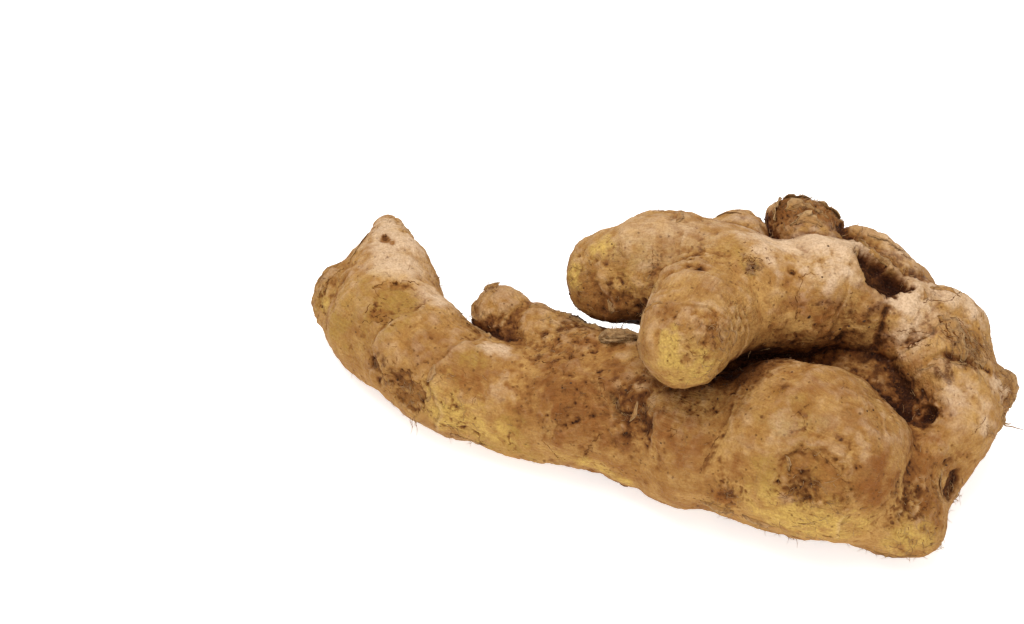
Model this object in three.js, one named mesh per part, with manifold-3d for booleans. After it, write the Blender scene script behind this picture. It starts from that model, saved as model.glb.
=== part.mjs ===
// A hand of fresh ginger root: one solid rhizome of swollen fingers, lying on a flat surface.
// Millimetres, +Z up. The hand rests on z = 0 and its bounding box is centred on the Z axis.
// The thick trunk runs along X, with its broken end at +X. The upper arm turns back over the trunk
// from that end. Short fingers and buds grow from both, and two fingers prop the hand up behind.

import * as THREE from "three";
import { mergeVertices } from "three/addons/utils/BufferGeometryUtils.js";
import Module from "manifold-3d";

// Driving dimensions.
const ROW_STEP = 2.8; // distance between two cross-sections along a lobe
const AXIS_SAMPLES = 240; // places along a lobe's axis that can carry a cross-section
const LUMP_SIZE = 6.5; // typical half-width of a swelling of the skin
const LUMP_HEIGHT = 0.06; // height of a swelling, as a share of the lobe's radius
const SHEATH_RISE = 0.9; // how far the skin swells up to a leaf-scar ring
const SHEATH_RUN = 5; // distance over which it swells
const SHEATH_DROP = 0.9; // how far it falls in behind the ring
const SHEATH_FALL = 3; // distance over which it recovers
const RING_WOBBLE = 1.3; // how far a ring strays from a plane round the lobe
const CROWDING = 0.6; // how far cross-sections crowd at a lobe's ends, from 0 to 1
const FORK_SAMPLES = 32; // balls along a lobe that stand for it where a fork is filled
const FORK_FILL = 0.25; // thickness of the flesh in a fork, as a share of its reach
const WELD = 1e-3; // vertices closer than this are one
const FLOOR_SIZE = 400; // side of the block that trims the resting spots flat
const FLOOR_DEPTH = 20; // thickness of that block

// Every lobe is a row of round stations [x, y, z, radius] along its axis. It reaches one radius past its
// first and its last station. A ring is the scar of a leaf sheath: [distance along the axis, strength].
const LOBES = {
  heel: {
    sides: 22,
    stations: [[55.3, -43.3, 12, 10], [59.5, -35.8, 15, 9.6], [67.6, -21.7, 19.5, 11.6]],
    rings: [[14, 0.4]],
  },
  foot: {
    sides: 18,
    stations: [[45.8, -45.4, 10, 9.5], [52.2, -47.3, 10, 9.5], [56.6, -48.3, 9, 7.8]],
    rings: [],
  },
  ear: {
    sides: 18,
    stations: [[69.2, -18.9, 19, 9.5], [75.8, -14, 18.5, 7.2]],
    rings: [[3, 0.3]],
  },
  knuckle: {
    sides: 34,
    stations: [[24.6, -31.3, 20, 19.4], [31.9, -36.7, 21.5, 20.6], [34.6, -37.4, 20.3, 20]],
    rings: [[17, 0.3]],
  },
  middle: {
    sides: 28,
    stations: [
      [20, -31, 16, 14.5], [5, -28.5, 16, 16.5], [-4, -23.5, 16, 16], [-13.5, -18.5, 15.5, 15.5],
      [-24, -16, 14.5, 14.5], [-31.5, -14.8, 13, 13],
    ],
    rings: [[7, 1.4], [22, 0.4], [38, 0.5]],
  },
  left: {
    sides: 26,
    stations: [
      [-43, -11.1, 13.2, 12.8], [-57.1, -2.5, 13.5, 13.6], [-70.4, 11.4, 13.5, 14.1], [-81.9, 24.6, 11, 9.7],
    ],
    rings: [[-4, 0.4], [11, 0.5], [28, 0.4]],
  },
  tip: {
    sides: 20,
    stations: [[-70.4, 19, 13, 12.7], [-71, 31.6, 13.5, 10.8], [-71.6, 41.6, 13.5, 7.8], [-72.2, 48, 13.5, 4.4]],
    rings: [[19, 0.4]],
  },
  shoulder: {
    sides: 18,
    stations: [[-34.5, 5.3, 17.5, 8.5], [-21, -4.6, 18.5, 9.4], [-8.5, -12.1, 18.5, 9.8]],
    rings: [[10, 0.5]],
  },
  left_bud: {
    sides: 14,
    stations: [[-39.5, 4.5, 16, 7], [-42.5, 11, 20, 7.7]],
    rings: [[5, 0.5]],
  },
  bend: {
    sides: 26,
    stations: [[65.1, -21.5, 20, 11.6], [61.3, -4.5, 27.5, 14.9], [56, -2.4, 31, 11.7]],
    rings: [[8, 0.5], [18, 0.4]],
  },
  upper: {
    sides: 26,
    stations: [[48, -2, 34, 9.2], [37.1, 1.7, 37.5, 13.9], [29.6, -0.4, 37.5, 13.3]],
    rings: [[10, 0.3]],
  },
  arm: {
    sides: 26,
    stations: [
      [20, -2.5, 39, 13], [13, 2.5, 39, 13], [3.5, 8.5, 38, 13.5], [-6, 10, 37, 13.7], [-15, 10.5, 35, 12],
    ],
    rings: [[10, 0.3], [33, 0.5]],
  },
  thumb: {
    sides: 24,
    stations: [[13.3, 1.9, 37, 10.5], [4.1, -15.5, 44.5, 12.3], [0.8, -24.4, 46.8, 11.7]],
    rings: [[24, 0.3]],
  },
  back_bud: {
    sides: 14,
    stations: [[16.5, 13.5, 36, 8.4], [15.5, 21.5, 36, 7.9]],
    rings: [[7, 0.5]],
  },
  stub: {
    sides: 16,
    stations: [[34.1, 14.5, 35, 9.9], [31.2, 24.2, 37, 8.7]],
    rings: [],
  },
  stub_side: {
    sides: 12,
    stations: [[34.6, 22.7, 36, 7.5], [38.2, 24.9, 37, 5.5]],
    rings: [],
  },
  flap: {
    sides: 12,
    stations: [
      [44.1, 18.9, 40, 3.2], [48.7, 13.7, 41.5, 3.7], [53, 9.6, 41, 3.8], [57.2, 6.8, 38, 3.7], [59.8, 4.2, 34, 3.7],
    ],
    rings: [],
  },
  back_finger: {
    sides: 22,
    stations: [[47, 3, 32, 12.5], [50, 16, 23, 12.5], [50, 28, 12.5, 12.8]],
    rings: [[8, 0.7], [22, 0.6]],
  },
  back_finger_bud: {
    sides: 14,
    stations: [[54, 20, 19, 8], [62, 25, 14, 6.8]],
    rings: [[6, 0.5]],
  },
  lower_finger: {
    sides: 22,
    stations: [[52, -16, 16, 13], [38, -9, 14.5, 14], [22, -6.5, 13, 13.5], [8, -7, 12.5, 13]],
    rings: [[12, 0.6], [28, 0.7], [40, 0.5]],
  },
};

// Where two lobes grew into each other the flesh fills the fork: [lobe, lobe, reach from the fork].
const FORKS = [
  ["thumb", "arm", 10], ["tip", "left", 10], ["left", "middle", 8], ["middle", "knuckle", 9],
  ["shoulder", "middle", 10], ["shoulder", "left", 6], ["left_bud", "shoulder", 4],
  ["knuckle", "heel", 7], ["knuckle", "foot", 6], ["foot", "heel", 4], ["heel", "ear", 5],
  ["ear", "bend", 3], ["bend", "heel", 6], ["upper", "bend", 5], ["upper", "arm", 8],
  ["arm", "back_bud", 5], ["upper", "stub", 4], ["stub", "stub_side", 4], ["flap", "bend", 3],
  ["upper", "back_finger", 6], ["bend", "back_finger", 6], ["back_finger", "back_finger_bud", 6],
  ["heel", "lower_finger", 6], ["knuckle", "lower_finger", 5],
];

// Where the skin is broken in: [x, y, z, radius, depth].
const DENTS = {
  broken_branch: [27.9, -52.5, 29.5, 13, 2.2],
  broken_end: [65.4, -42.5, 18.2, 9, 3],
  root_pit: [59, -29.1, 26.8, 6, 3],
  shaved_skin: [-68.3, 10.8, 26.8, 8, 1.8],
  torn_root: [-65.5, -10.7, 16.3, 7.5, 2.2],
  tip_pit: [-72.6, 34.1, 23.8, 4.5, 1.2],
  left_face: [-88.1, 23.1, 18.6, 10, 1.6],
  arm_face: [-21.6, 3.6, 42.1, 12, 1.4],
  arm_top: [-3.1, 6.6, 50.6, 13, 1.1],
  thumb_face: [-6.7, -32.2, 45.8, 9, 1.6],
  thumb_side: [10.2, -31.8, 47.4, 9, 1.3],
  trunk_low: [-9.6, -38.4, 20, 10, 1.2],
  trunk_top: [-28.5, -20.9, 27.1, 11, 1.1],
  bend_face: [65.3, -10.6, 40.5, 12, 1.3],
  upper_face: [39.5, -8.6, 48, 13, 1.2],
  heel_face: [72.6, -25.4, 30.4, 9, 1.2],
  left_low: [-79.7, 2.2, 18.3, 10, 1.2],
  knuckle_top: [38.8, -36.2, 39.8, 13, 1.4],
  knuckle_side: [21.2, -37.1, 40.1, 12, 1],
};

const wasm = await Module();
wasm.setup();

// A slow swelling and sinking of the skin, between -1 and 1.
function lump(point) {
  const { x, y, z } = point.clone().divideScalar(LUMP_SIZE);
  return (Math.sin(x + 0.7 * z) * Math.sin(y - 0.4 * x + 1) + Math.sin(z + 0.6 * y + 2) * Math.cos(x - y)) / 2;
}

// The height of the skin at a distance past a leaf-scar ring, which is negative before the ring.
function sheath(distance) {
  return distance < 0
    ? SHEATH_RISE * Math.exp(distance / SHEATH_RUN)
    : -SHEATH_DROP * Math.exp(-distance / SHEATH_FALL);
}

// How deep the skin is broken in at a point.
function dent(point) {
  const depths = Object.values(DENTS).map(([x, y, z, radius, depth]) => {
    const near = 1 - point.distanceToSquared(new THREE.Vector3(x, y, z)) / radius ** 2;
    return depth * Math.max(0, near);
  });
  return Math.max(...depths);
}

// The middle line of a lobe, and a curve whose x is the radius along it.
function curvesOf({ stations }) {
  const axis = new THREE.CatmullRomCurve3(stations.map(([x, y, z]) => new THREE.Vector3(x, y, z)));
  const girth = new THREE.CatmullRomCurve3(stations.map((station) => new THREE.Vector3(station[3], 0, 0)));
  return { axis, girth };
}

// A row of balls that fills a lobe from its first station to its last.
function ballsOf(lobe) {
  const { axis, girth } = curvesOf(lobe);
  return Array.from({ length: FORK_SAMPLES + 1 }, (_, i) => {
    const t = i / FORK_SAMPLES;
    return { centre: axis.getPoint(t), radius: girth.getPoint(t).x };
  });
}

const BALLS = Object.fromEntries(Object.entries(LOBES).map(([name, lobe]) => [name, ballsOf(lobe)]));

// How far the flesh of a lobe swells at a point, to fill its forks with the lobes beside it.
function forkFill(name, point) {
  const fills = FORKS.filter((fork) => fork.includes(name)).map(([first, second, reach]) => {
    const beside = BALLS[first === name ? second : first];
    const gap = Math.min(...beside.map(({ centre, radius }) => point.distanceTo(centre) - radius));
    return FORK_FILL * reach * THREE.MathUtils.clamp(1 - gap / reach, 0, 1) ** 2;
  });
  return Math.max(0, ...fills);
}

// One lobe: the rows of a sphere are spread along the axis, and its poles become the rounded ends.
function lobeSkin(name, lobe) {
  const { sides, stations, rings } = lobe;
  const { axis, girth } = curvesOf(lobe);
  const length = axis.getLength();
  const [start, end] = [stations[0][3], stations.at(-1)[3]];
  const reach = start + length + end;
  const frames = axis.computeFrenetFrames(AXIS_SAMPLES, false);
  const skin = new THREE.SphereGeometry(1, sides, Math.round(reach / ROW_STEP));
  const vertices = skin.attributes.position;
  const vertex = new THREE.Vector3();
  for (let i = 0; i < vertices.count; i++) {
    vertex.fromBufferAttribute(vertices, i);
    const share = Math.acos(THREE.MathUtils.clamp(vertex.y, -1, 1)) / Math.PI;
    const crowded = share - (CROWDING * Math.sin(2 * Math.PI * share)) / (2 * Math.PI);
    const along = crowded * reach - start;
    const inside = THREE.MathUtils.clamp(along, 0, length);
    const u = inside / length;
    const sample = Math.round(u * AXIS_SAMPLES);
    const radius = girth.getPoint(axis.getUtoTmapping(u)).x;
    const past = Math.min(1, Math.abs(along - inside) / radius);
    const cap = Math.sqrt(1 - past * past);
    const around = Math.atan2(vertex.z, vertex.x);
    const outward = frames.normals[sample].clone().multiplyScalar(Math.cos(around))
      .addScaledVector(frames.binormals[sample], Math.sin(around));
    const centre = axis.getPointAt(u).addScaledVector(frames.tangents[sample], along - inside);
    const bare = centre.clone().addScaledVector(outward, radius * cap);
    const wobble = RING_WOBBLE * (Math.sin(2 * around + length) + 0.5 * Math.sin(3 * around));
    const scars = rings.reduce((sum, [place, strength]) => sum + strength * sheath(along - place - wobble), 0);
    const swollen = radius * (1 + LUMP_HEIGHT * lump(bare)) + scars - dent(bare) + forkFill(name, bare);
    const surface = centre.addScaledVector(outward, swollen * cap);
    vertices.setXYZ(i, surface.x, surface.y, surface.z);
  }
  return skin;
}

// A closed three.js geometry as a solid that can be joined and cut.
function solidOf(geometry) {
  const bare = new THREE.BufferGeometry();
  bare.setAttribute("position", geometry.attributes.position);
  bare.setIndex(geometry.index);
  const merged = mergeVertices(bare, WELD);
  return new wasm.Manifold(new wasm.Mesh({
    numProp: 3,
    vertProperties: merged.attributes.position.array,
    triVerts: new Uint32Array(merged.index.array),
  }));
}

function geometryOf(solid) {
  const { vertProperties, triVerts } = solid.getMesh();
  const geometry = new THREE.BufferGeometry();
  geometry.setAttribute("position", new THREE.BufferAttribute(vertProperties, 3));
  geometry.setIndex(new THREE.BufferAttribute(triVerts, 1));
  return geometry;
}

// The block under z = 0, which trims the low spots of the hand flat.
function floorBlock() {
  const block = new THREE.BoxGeometry(FLOOR_SIZE, FLOOR_SIZE, FLOOR_DEPTH);
  block.translate(0, 0, -FLOOR_DEPTH / 2);
  return block;
}

// All lobes grown together. Welding can seal off a speck of space where they meet, which is filled.
function rhizome() {
  const lobes = Object.entries(LOBES).map(([name, lobe]) => solidOf(lobeSkin(name, lobe)));
  const grown = lobes.reduce((whole, lobe) => whole.add(lobe));
  const trimmed = grown.subtract(solidOf(floorBlock()));
  const [body] = solidOf(geometryOf(trimmed)).decompose().sort((a, b) => b.volume() - a.volume());
  const geometry = geometryOf(body);
  geometry.computeBoundingBox();
  const centre = geometry.boundingBox.getCenter(new THREE.Vector3());
  geometry.translate(-centre.x, -centre.y, 0);
  geometry.computeVertexNormals();
  return geometry;
}

const skinMaterial = new THREE.MeshStandardMaterial({ color: 0xb98f5c, roughness: 0.85, metalness: 0 });
const root = new THREE.Mesh(rhizome(), skinMaterial);
root.name = "rhizome";

const hand = new THREE.Group();
hand.add(root);
export default hand;
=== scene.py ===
# %% [markdown]
# # A hand of fresh ginger
# The real thing is one knobbly rhizome: swollen lobes that grew out of each other, wrapped in thin tan
# skin with the scars of dry leaf sheaths round every finger. The solid model gives its size and its
# lobes. This lesson grows the skin over it, tears and bruises it, and adds what clings to it.

# %% Load the solid model
import math
import random

import bmesh
import bpy
import numpy as np
from mathutils import Matrix, Vector, noise
from mathutils.bvhtree import BVHTree


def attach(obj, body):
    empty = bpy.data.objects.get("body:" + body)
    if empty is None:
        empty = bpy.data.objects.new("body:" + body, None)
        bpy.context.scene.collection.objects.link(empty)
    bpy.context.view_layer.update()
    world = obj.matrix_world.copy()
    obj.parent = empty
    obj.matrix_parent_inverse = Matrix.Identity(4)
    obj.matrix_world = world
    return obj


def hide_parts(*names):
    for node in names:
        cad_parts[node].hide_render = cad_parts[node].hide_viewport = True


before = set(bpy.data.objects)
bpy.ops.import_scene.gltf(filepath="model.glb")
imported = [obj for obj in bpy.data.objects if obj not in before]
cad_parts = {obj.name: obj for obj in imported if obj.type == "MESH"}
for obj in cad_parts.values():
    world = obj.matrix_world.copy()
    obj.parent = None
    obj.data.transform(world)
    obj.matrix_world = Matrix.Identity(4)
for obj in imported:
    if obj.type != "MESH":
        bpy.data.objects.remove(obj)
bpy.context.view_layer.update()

MM = 0.001
bpy.ops.object.select_all(action="DESELECT")

# %% [markdown]
# ## The camera
# The root is looked down on from 45 degrees with a long lens, which keeps its lobes in proportion.
# Every listed mark is given by a pixel of its 1024 x 624 frame, so the camera comes first and a small
# helper turns a pixel into a ray.

# %% Aim the camera
FRAME_WIDTH, FRAME_HEIGHT = 1024, 624
LENS, SENSOR = 100, 36
NEAR_CLIP = 0.01
LOOK_DOWN = math.radians(45)
PIXEL = 0.25 * MM
AIM = Vector((-35.785, 14.517, 20)) * MM
FOCAL_PIXELS = LENS / SENSOR * FRAME_WIDTH
forward = Vector((0, math.cos(LOOK_DOWN), -math.sin(LOOK_DOWN)))
upward = Vector((0, math.sin(LOOK_DOWN), math.cos(LOOK_DOWN)))
eye = AIM - forward * FOCAL_PIXELS * PIXEL
bpy.ops.object.camera_add(location=eye, rotation=(math.pi / 2 - LOOK_DOWN, 0, 0))
camera = bpy.context.object
camera.data.lens = LENS
camera.data.sensor_width = SENSOR
camera.data.clip_start = NEAR_CLIP
bpy.context.scene.camera = camera


def sight(px, py):
    """The direction in which the camera sees a pixel of its frame."""
    across = (px - FRAME_WIDTH / 2) / FOCAL_PIXELS
    down = (py - FRAME_HEIGHT / 2) / FOCAL_PIXELS
    return (forward + Vector((1, 0, 0)) * across - upward * down).normalized()


print("camera at, mm:", [round(part / MM) for part in eye])

# %% [markdown]
# ## Soft light and a pale floor
# One broad lamp above and a little behind the root whitens the tops of the lobes, and a weaker one in
# front opens the shadows. The floor is almost white, because its bounce is what gives the underside
# of fresh ginger its warm yellow rim.

# %% Set the stage
LAMPS = {
    "overhead": {"at": (-0.15, 0.15, 0.9), "size": 0.9, "power": 8.6},
    "front_fill": {"at": (0.2, -0.9, 0.6), "size": 0.9, "power": 4.4},
}
ROOM_COLOUR, ROOM_STRENGTH = (1.0, 0.99, 0.97, 1), 0.5
FLOOR_SIDE = 6


def area_lamp(name, at, size, power):
    bpy.ops.object.light_add(type="AREA", location=at)
    lamp = bpy.context.object
    lamp.name = name
    lamp.data.size = size
    lamp.data.energy = power
    lamp.rotation_euler = (-Vector(at)).to_track_quat("-Z", "Y").to_euler()
    return lamp


for lamp_name, settings in LAMPS.items():
    area_lamp(lamp_name, **settings)

world = bpy.data.worlds.new("studio")
world.use_nodes = True
room = world.node_tree.nodes["Background"].inputs
room["Color"].default_value = ROOM_COLOUR
room["Strength"].default_value = ROOM_STRENGTH
bpy.context.scene.world = world
bpy.context.scene.view_settings.view_transform = "Standard"

bpy.ops.mesh.primitive_plane_add(size=FLOOR_SIDE)
floor = bpy.context.object
floor.name = "floor"
print("lamps:", ", ".join(LAMPS))

# %% [markdown]
# ## The skin as one fine mesh
# The solid model has flat facets a few millimetres wide. A copy of it is welded, remeshed into even
# squares well under a millimetre, and smoothed until the facets and the saw-tooth seams between the
# lobes are gone. The squares are what the rings, scars and wrinkles are then pressed into.

# %% Remesh a copy of the rhizome
WELD = 0.001 * MM
VOXEL = 0.6 * MM
FACET_SMOOTHING, SMOOTHING_STEP = 17, 0.5


def make_active(piece):
    bpy.ops.object.select_all(action="DESELECT")
    piece.select_set(True)
    bpy.context.view_layer.objects.active = piece


def apply_modifier(piece, kind, **settings):
    """Adds a modifier with these settings and applies it."""
    make_active(piece)
    bpy.ops.object.modifier_add(type=kind)
    modifier = piece.modifiers[-1]
    for setting, value in settings.items():
        setattr(modifier, setting, value)
    bpy.ops.object.modifier_apply(modifier=modifier.name)


skin = bpy.data.objects.new("ginger_skin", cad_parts["rhizome"].data.copy())
bpy.context.collection.objects.link(skin)
skin.data.materials.clear()
make_active(skin)
bpy.ops.object.mode_set(mode="EDIT")
bpy.ops.mesh.select_all(action="SELECT")
bpy.ops.mesh.remove_doubles(threshold=WELD)
bpy.ops.object.mode_set(mode="OBJECT")
apply_modifier(skin, "REMESH", mode="VOXEL", voxel_size=VOXEL)
apply_modifier(skin, "SMOOTH", factor=SMOOTHING_STEP, iterations=FACET_SMOOTHING)
print("skin:", len(skin.data.vertices), "points,", len(skin.data.polygons), "squares")

# %% [markdown]
# ## Points, normals and noise as arrays
# The fine relief is easier to write as formulas on all the points at once than as brush strokes, so
# the mesh is read into arrays, changed there and written back.

# %% Helpers for arrays of points


def read_points(piece):
    """Every vertex of the piece, in millimetres."""
    flat = np.empty(len(piece.data.vertices) * 3)
    piece.data.vertices.foreach_get("co", flat)
    return flat.reshape(-1, 3) / MM


def write_points(piece, points):
    piece.data.vertices.foreach_set("co", (points * MM).ravel())
    piece.data.update()


def read_normals(piece):
    flat = np.empty(len(piece.data.vertices) * 3)
    piece.data.vertex_normals.foreach_get("vector", flat)
    return flat.reshape(-1, 3)


def waviness(points, size, octaves=2, shift=0.0):
    """Smooth noise between about -1 and 1, of a size in mm. The shift picks another part of it."""
    offset = Vector((shift, shift * 1.7, shift * 2.3))
    return np.array([
        noise.fractal(Vector(point) / size + offset, 1.0, 2.0, octaves) for point in points
    ])


def layered(points, layers):
    """Noise of several sizes added up. A layer is its size in mm, octaves, shift and height."""
    return sum(
        waviness(points, size, octaves, shift) * height for size, octaves, shift, height in layers
    )


def smoothstep(value, low, high):
    share = np.clip((value - low) / (high - low), 0, 1)
    return share * share * (3 - 2 * share)


points = read_points(skin)
normals = read_normals(skin)
print("noise sample:", round(float(waviness(points[:1], 5.0)[0]), 3))

# %% [markdown]
# ## Which lobe a point belongs to
# Skin grows along each finger, so its rings run round the finger's own axis and its fibres run along
# it. These are the axes and radii that the solid model was grown on, station by station. A point
# belongs to the lobe whose surface it lies nearest, and where two lobes are equally near there is a
# crease. That gives three useful fields: how far along, how far round, and how far from a crease.

# %% Straighten the lobes
MODEL_CENTRE = np.array([-4.215, -2.517, 0.0])
LOBES = {
    "heel": [(55.3, -43.3, 12, 10), (59.5, -35.8, 15, 9.6), (67.6, -21.7, 19.5, 11.6)],
    "foot": [(45.8, -45.4, 10, 9.5), (52.2, -47.3, 10, 9.5), (56.6, -48.3, 9, 7.8)],
    "ear": [(69.2, -18.9, 19, 9.5), (75.8, -14, 18.5, 7.2)],
    "knuckle": [(24.6, -31.3, 20, 19.4), (31.9, -36.7, 21.5, 20.6), (34.6, -37.4, 20.3, 20)],
    "middle": [
        (20, -31, 16, 14.5), (5, -28.5, 16, 16.5), (-4, -23.5, 16, 16), (-13.5, -18.5, 15.5, 15.5),
        (-24, -16, 14.5, 14.5), (-31.5, -14.8, 13, 13),
    ],
    "left": [
        (-43, -11.1, 13.2, 12.8), (-57.1, -2.5, 13.5, 13.6), (-70.4, 11.4, 13.5, 14.1),
        (-81.9, 24.6, 11, 9.7),
    ],
    "tip": [
        (-70.4, 19, 13, 12.7), (-71, 31.6, 13.5, 10.8), (-71.6, 41.6, 13.5, 7.8),
        (-72.2, 48, 13.5, 4.4),
    ],
    "shoulder": [(-34.5, 5.3, 17.5, 8.5), (-21, -4.6, 18.5, 9.4), (-8.5, -12.1, 18.5, 9.8)],
    "left_bud": [(-39.5, 4.5, 16, 7), (-42.5, 11, 20, 7.7)],
    "bend": [(65.1, -21.5, 20, 11.6), (61.3, -4.5, 27.5, 14.9), (56, -2.4, 31, 11.7)],
    "upper": [(48, -2, 34, 9.2), (37.1, 1.7, 37.5, 13.9), (29.6, -0.4, 37.5, 13.3)],
    "arm": [
        (20, -2.5, 39, 13), (13, 2.5, 39, 13), (3.5, 8.5, 38, 13.5), (-6, 10, 37, 13.7),
        (-15, 10.5, 35, 12),
    ],
    "thumb": [(13.3, 1.9, 37, 10.5), (4.1, -15.5, 44.5, 12.3), (0.8, -24.4, 46.8, 11.7)],
    "back_bud": [(16.5, 13.5, 36, 8.4), (15.5, 21.5, 36, 7.9)],
    "stub": [(34.1, 14.5, 35, 9.9), (31.2, 24.2, 37, 8.7)],
    "stub_side": [(34.6, 22.7, 36, 7.5), (38.2, 24.9, 37, 5.5)],
    "flap": [
        (44.1, 18.9, 40, 3.2), (48.7, 13.7, 41.5, 3.7), (53, 9.6, 41, 3.8), (57.2, 6.8, 38, 3.7),
        (59.8, 4.2, 34, 3.7),
    ],
    "back_finger": [(47, 3, 32, 12.5), (50, 16, 23, 12.5), (50, 28, 12.5, 12.8)],
    "back_finger_bud": [(54, 20, 19, 8), (62, 25, 14, 6.8)],
    "lower_finger": [(52, -16, 16, 13), (38, -9, 14.5, 14), (22, -6.5, 13, 13.5), (8, -7, 12.5, 13)],
}
STEPS_PER_SPAN = 10


def axis_samples(stations):
    """Points, radii and distances along a smooth curve through the stations."""
    knots = np.array([stations[0], *stations, stations[-1]], float)
    samples = [knots[1]]
    for before, start, end, after in zip(knots, knots[1:], knots[2:], knots[3:]):
        for step in range(1, STEPS_PER_SPAN + 1):
            t = step / STEPS_PER_SPAN
            samples.append(0.5 * (
                2 * start + (end - before) * t + (2 * before - 5 * start + 4 * end - after) * t ** 2
                + (3 * start - before - 3 * end + after) * t ** 3
            ))
    samples = np.array(samples)
    centres = samples[:, :3] - MODEL_CENTRE
    lengths = np.linalg.norm(np.diff(centres, axis=0), axis=1)
    return centres, samples[:, 3], np.concatenate([[0], np.cumsum(lengths)])


def straighten(points, stations):
    """For every point: its gap to the lobe's surface, and its place along and round the lobe."""
    centres, radii, distances = axis_samples(stations)
    tangents = np.gradient(centres, axis=0)
    tangents /= np.linalg.norm(tangents, axis=1, keepdims=True)
    squared = ((points[:, None] - centres[None]) ** 2).sum(2)
    nearest = squared.argmin(1)
    offset = points - centres[nearest]
    tangent = tangents[nearest]
    ahead = (offset * tangent).sum(1)
    along = distances[nearest] + ahead
    sideways = offset - tangent * ahead[:, None]
    top = np.array([0, 0, 1]) - tangent * tangent[:, 2:]
    top /= np.linalg.norm(top, axis=1, keepdims=True)
    side = np.cross(tangent, top)
    gap = np.sqrt(squared.min(1)) - radii[nearest]
    across = np.stack([(sideways * top).sum(1), (sideways * side).sum(1)], 1)
    return gap, along, across, tangent


gaps, alongs, acrosses, tangents = (
    np.array(field) for field in zip(*(straighten(points, stations) for stations in LOBES.values()))
)
order = gaps.argsort(0)
lobe = order[0]
everyone = np.arange(len(points))
along = alongs[lobe, everyone]
across = acrosses[lobe, everyone]
growth = tangents[lobe, everyone]
crease = gaps[order[1], everyone] - gaps[lobe, everyone]
print("points per lobe:", dict(zip(LOBES, np.bincount(lobe, minlength=len(LOBES)).tolist())))

# %% [markdown]
# ## Soft and sharp forks
# Some lobes swelled out of each other with no line between them, such as the thumb from the arm. Others
# only press together, and the skin folds in sharply. The soft forks are listed, and there the mesh is
# smoothed by pulling each point towards the middle of its neighbours, many times but only a little.

# %% Smooth the soft forks
SOFT_FORKS = {
    ("thumb", "arm"): 1.0, ("tip", "left"): 1.0, ("middle", "knuckle"): 0.95,
    ("shoulder", "middle"): 0.85, ("left", "middle"): 0.8, ("foot", "heel"): 1.0,
    ("heel", "ear"): 1.0, ("knuckle", "foot"): 0.8, ("knuckle", "heel"): 0.7,
    ("stub", "stub_side"): 1.0, ("heel", "bend"): 0.5, ("upper", "arm"): 0.6,
    ("shoulder", "left"): 0.6, ("ear", "bend"): 0.3, ("upper", "thumb"): 0.8,
    ("back_finger", "back_finger_bud"): 0.7, ("upper", "bend"): 0.3,
}
FORK_WIDTH = 5.0
FORK_PASSES, FORK_PULL = 85, 0.6

names = list(LOBES)
softness = np.zeros((len(names), len(names)))
for (first, second), amount in SOFT_FORKS.items():
    softness[names.index(first), names.index(second)] = amount
    softness[names.index(second), names.index(first)] = amount
soft = softness[lobe, order[1]]
edges = np.empty(len(skin.data.edges) * 2, int)
skin.data.edges.foreach_get("vertices", edges)
edges = edges.reshape(-1, 2)
neighbours = np.bincount(edges.ravel(), minlength=len(points))[:, None]


def neighbour_mean(values):
    """The mean of each point's neighbours along the edges of the mesh."""
    total = np.zeros_like(values)
    for column in range(values.shape[1]):
        total[:, column] = np.bincount(edges[:, 0], values[edges[:, 1], column], len(values))
        total[:, column] += np.bincount(edges[:, 1], values[edges[:, 0], column], len(values))
    return total / neighbours


pull = (FORK_PULL * soft * np.exp(-((crease / FORK_WIDTH) ** 2)))[:, None]
for _ in range(FORK_PASSES):
    points = points + pull * (neighbour_mean(points) - points)
write_points(skin, points)
normals = read_normals(skin)
print("softened points:", int((pull > 0.1).sum()))

# %% [markdown]
# ## Rings, swellings and wrinkles
# Each leaf sheath leaves a ring: the skin swells gently up to it and drops away sharply behind, and
# the ring wanders and fades, because the sheath dried and tore unevenly. Rings are listed by their
# distance along each lobe, in the order of the lobes.

# %% Place the rings
NO_RING = -20
RINGS = {
    "heel": [14, 24], "foot": [NO_RING], "ear": [3], "knuckle": [17, 25], "middle": [7, 22, 30, 38],
    "left": [11, 28], "tip": [19, 27], "shoulder": [10, 19], "left_bud": [5], "bend": [8, 18, 26],
    "upper": [10], "arm": [10, 22, 33, 41], "thumb": [24, 31], "back_bud": [7], "stub": [NO_RING],
    "stub_side": [NO_RING], "flap": [NO_RING], "back_finger": [8, 22, 31], "back_finger_bud": [6],
    "lower_finger": [12, 28, 40],
}
RING_WANDER = ((12, 2, 3.1, 3.2), (4.0, 2, 8.4, 0.7))
OFF_FORK = (0.4, 3.0)
RING_SWELL, RING_SWELL_RUN = 0.32, 3.0
RING_DROP, RING_DROP_RUN = 0.22, 1.8
RING_STEP = 0.7
FAINTEST_RING = 0.12


def past_nearest_ring(along, lobe):
    """Signed distance past the nearest ring of each point's own lobe."""
    past = np.full(len(along), 99.0)
    for index, places in enumerate(RINGS.values()):
        mine = lobe == index
        steps = along[mine][:, None] - np.array(places, float)[None]
        past[mine] = steps[np.arange(mine.sum()), np.abs(steps).argmin(1)]
    return past


ring = past_nearest_ring(along + layered(points, RING_WANDER), lobe)
off_fork = smoothstep(crease, *OFF_FORK)
ring_strength = smoothstep(waviness(points, 11, 2, shift=21.0), -0.2, 0.45) * off_fork
before_ring = RING_SWELL * np.exp(np.minimum(ring, 0) / RING_SWELL_RUN)
past_ring = -RING_DROP * np.exp(-np.maximum(ring, 0) / RING_DROP_RUN)
over_edge = smoothstep(ring, -RING_STEP, RING_STEP)
ring_profile = before_ring * (1 - over_edge) + past_ring * over_edge
swell = ring_profile * (FAINTEST_RING + (1 - FAINTEST_RING) * ring_strength) * off_fork
print("points near a ring:", int((np.abs(ring) < RING_STEP).sum()))

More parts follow.
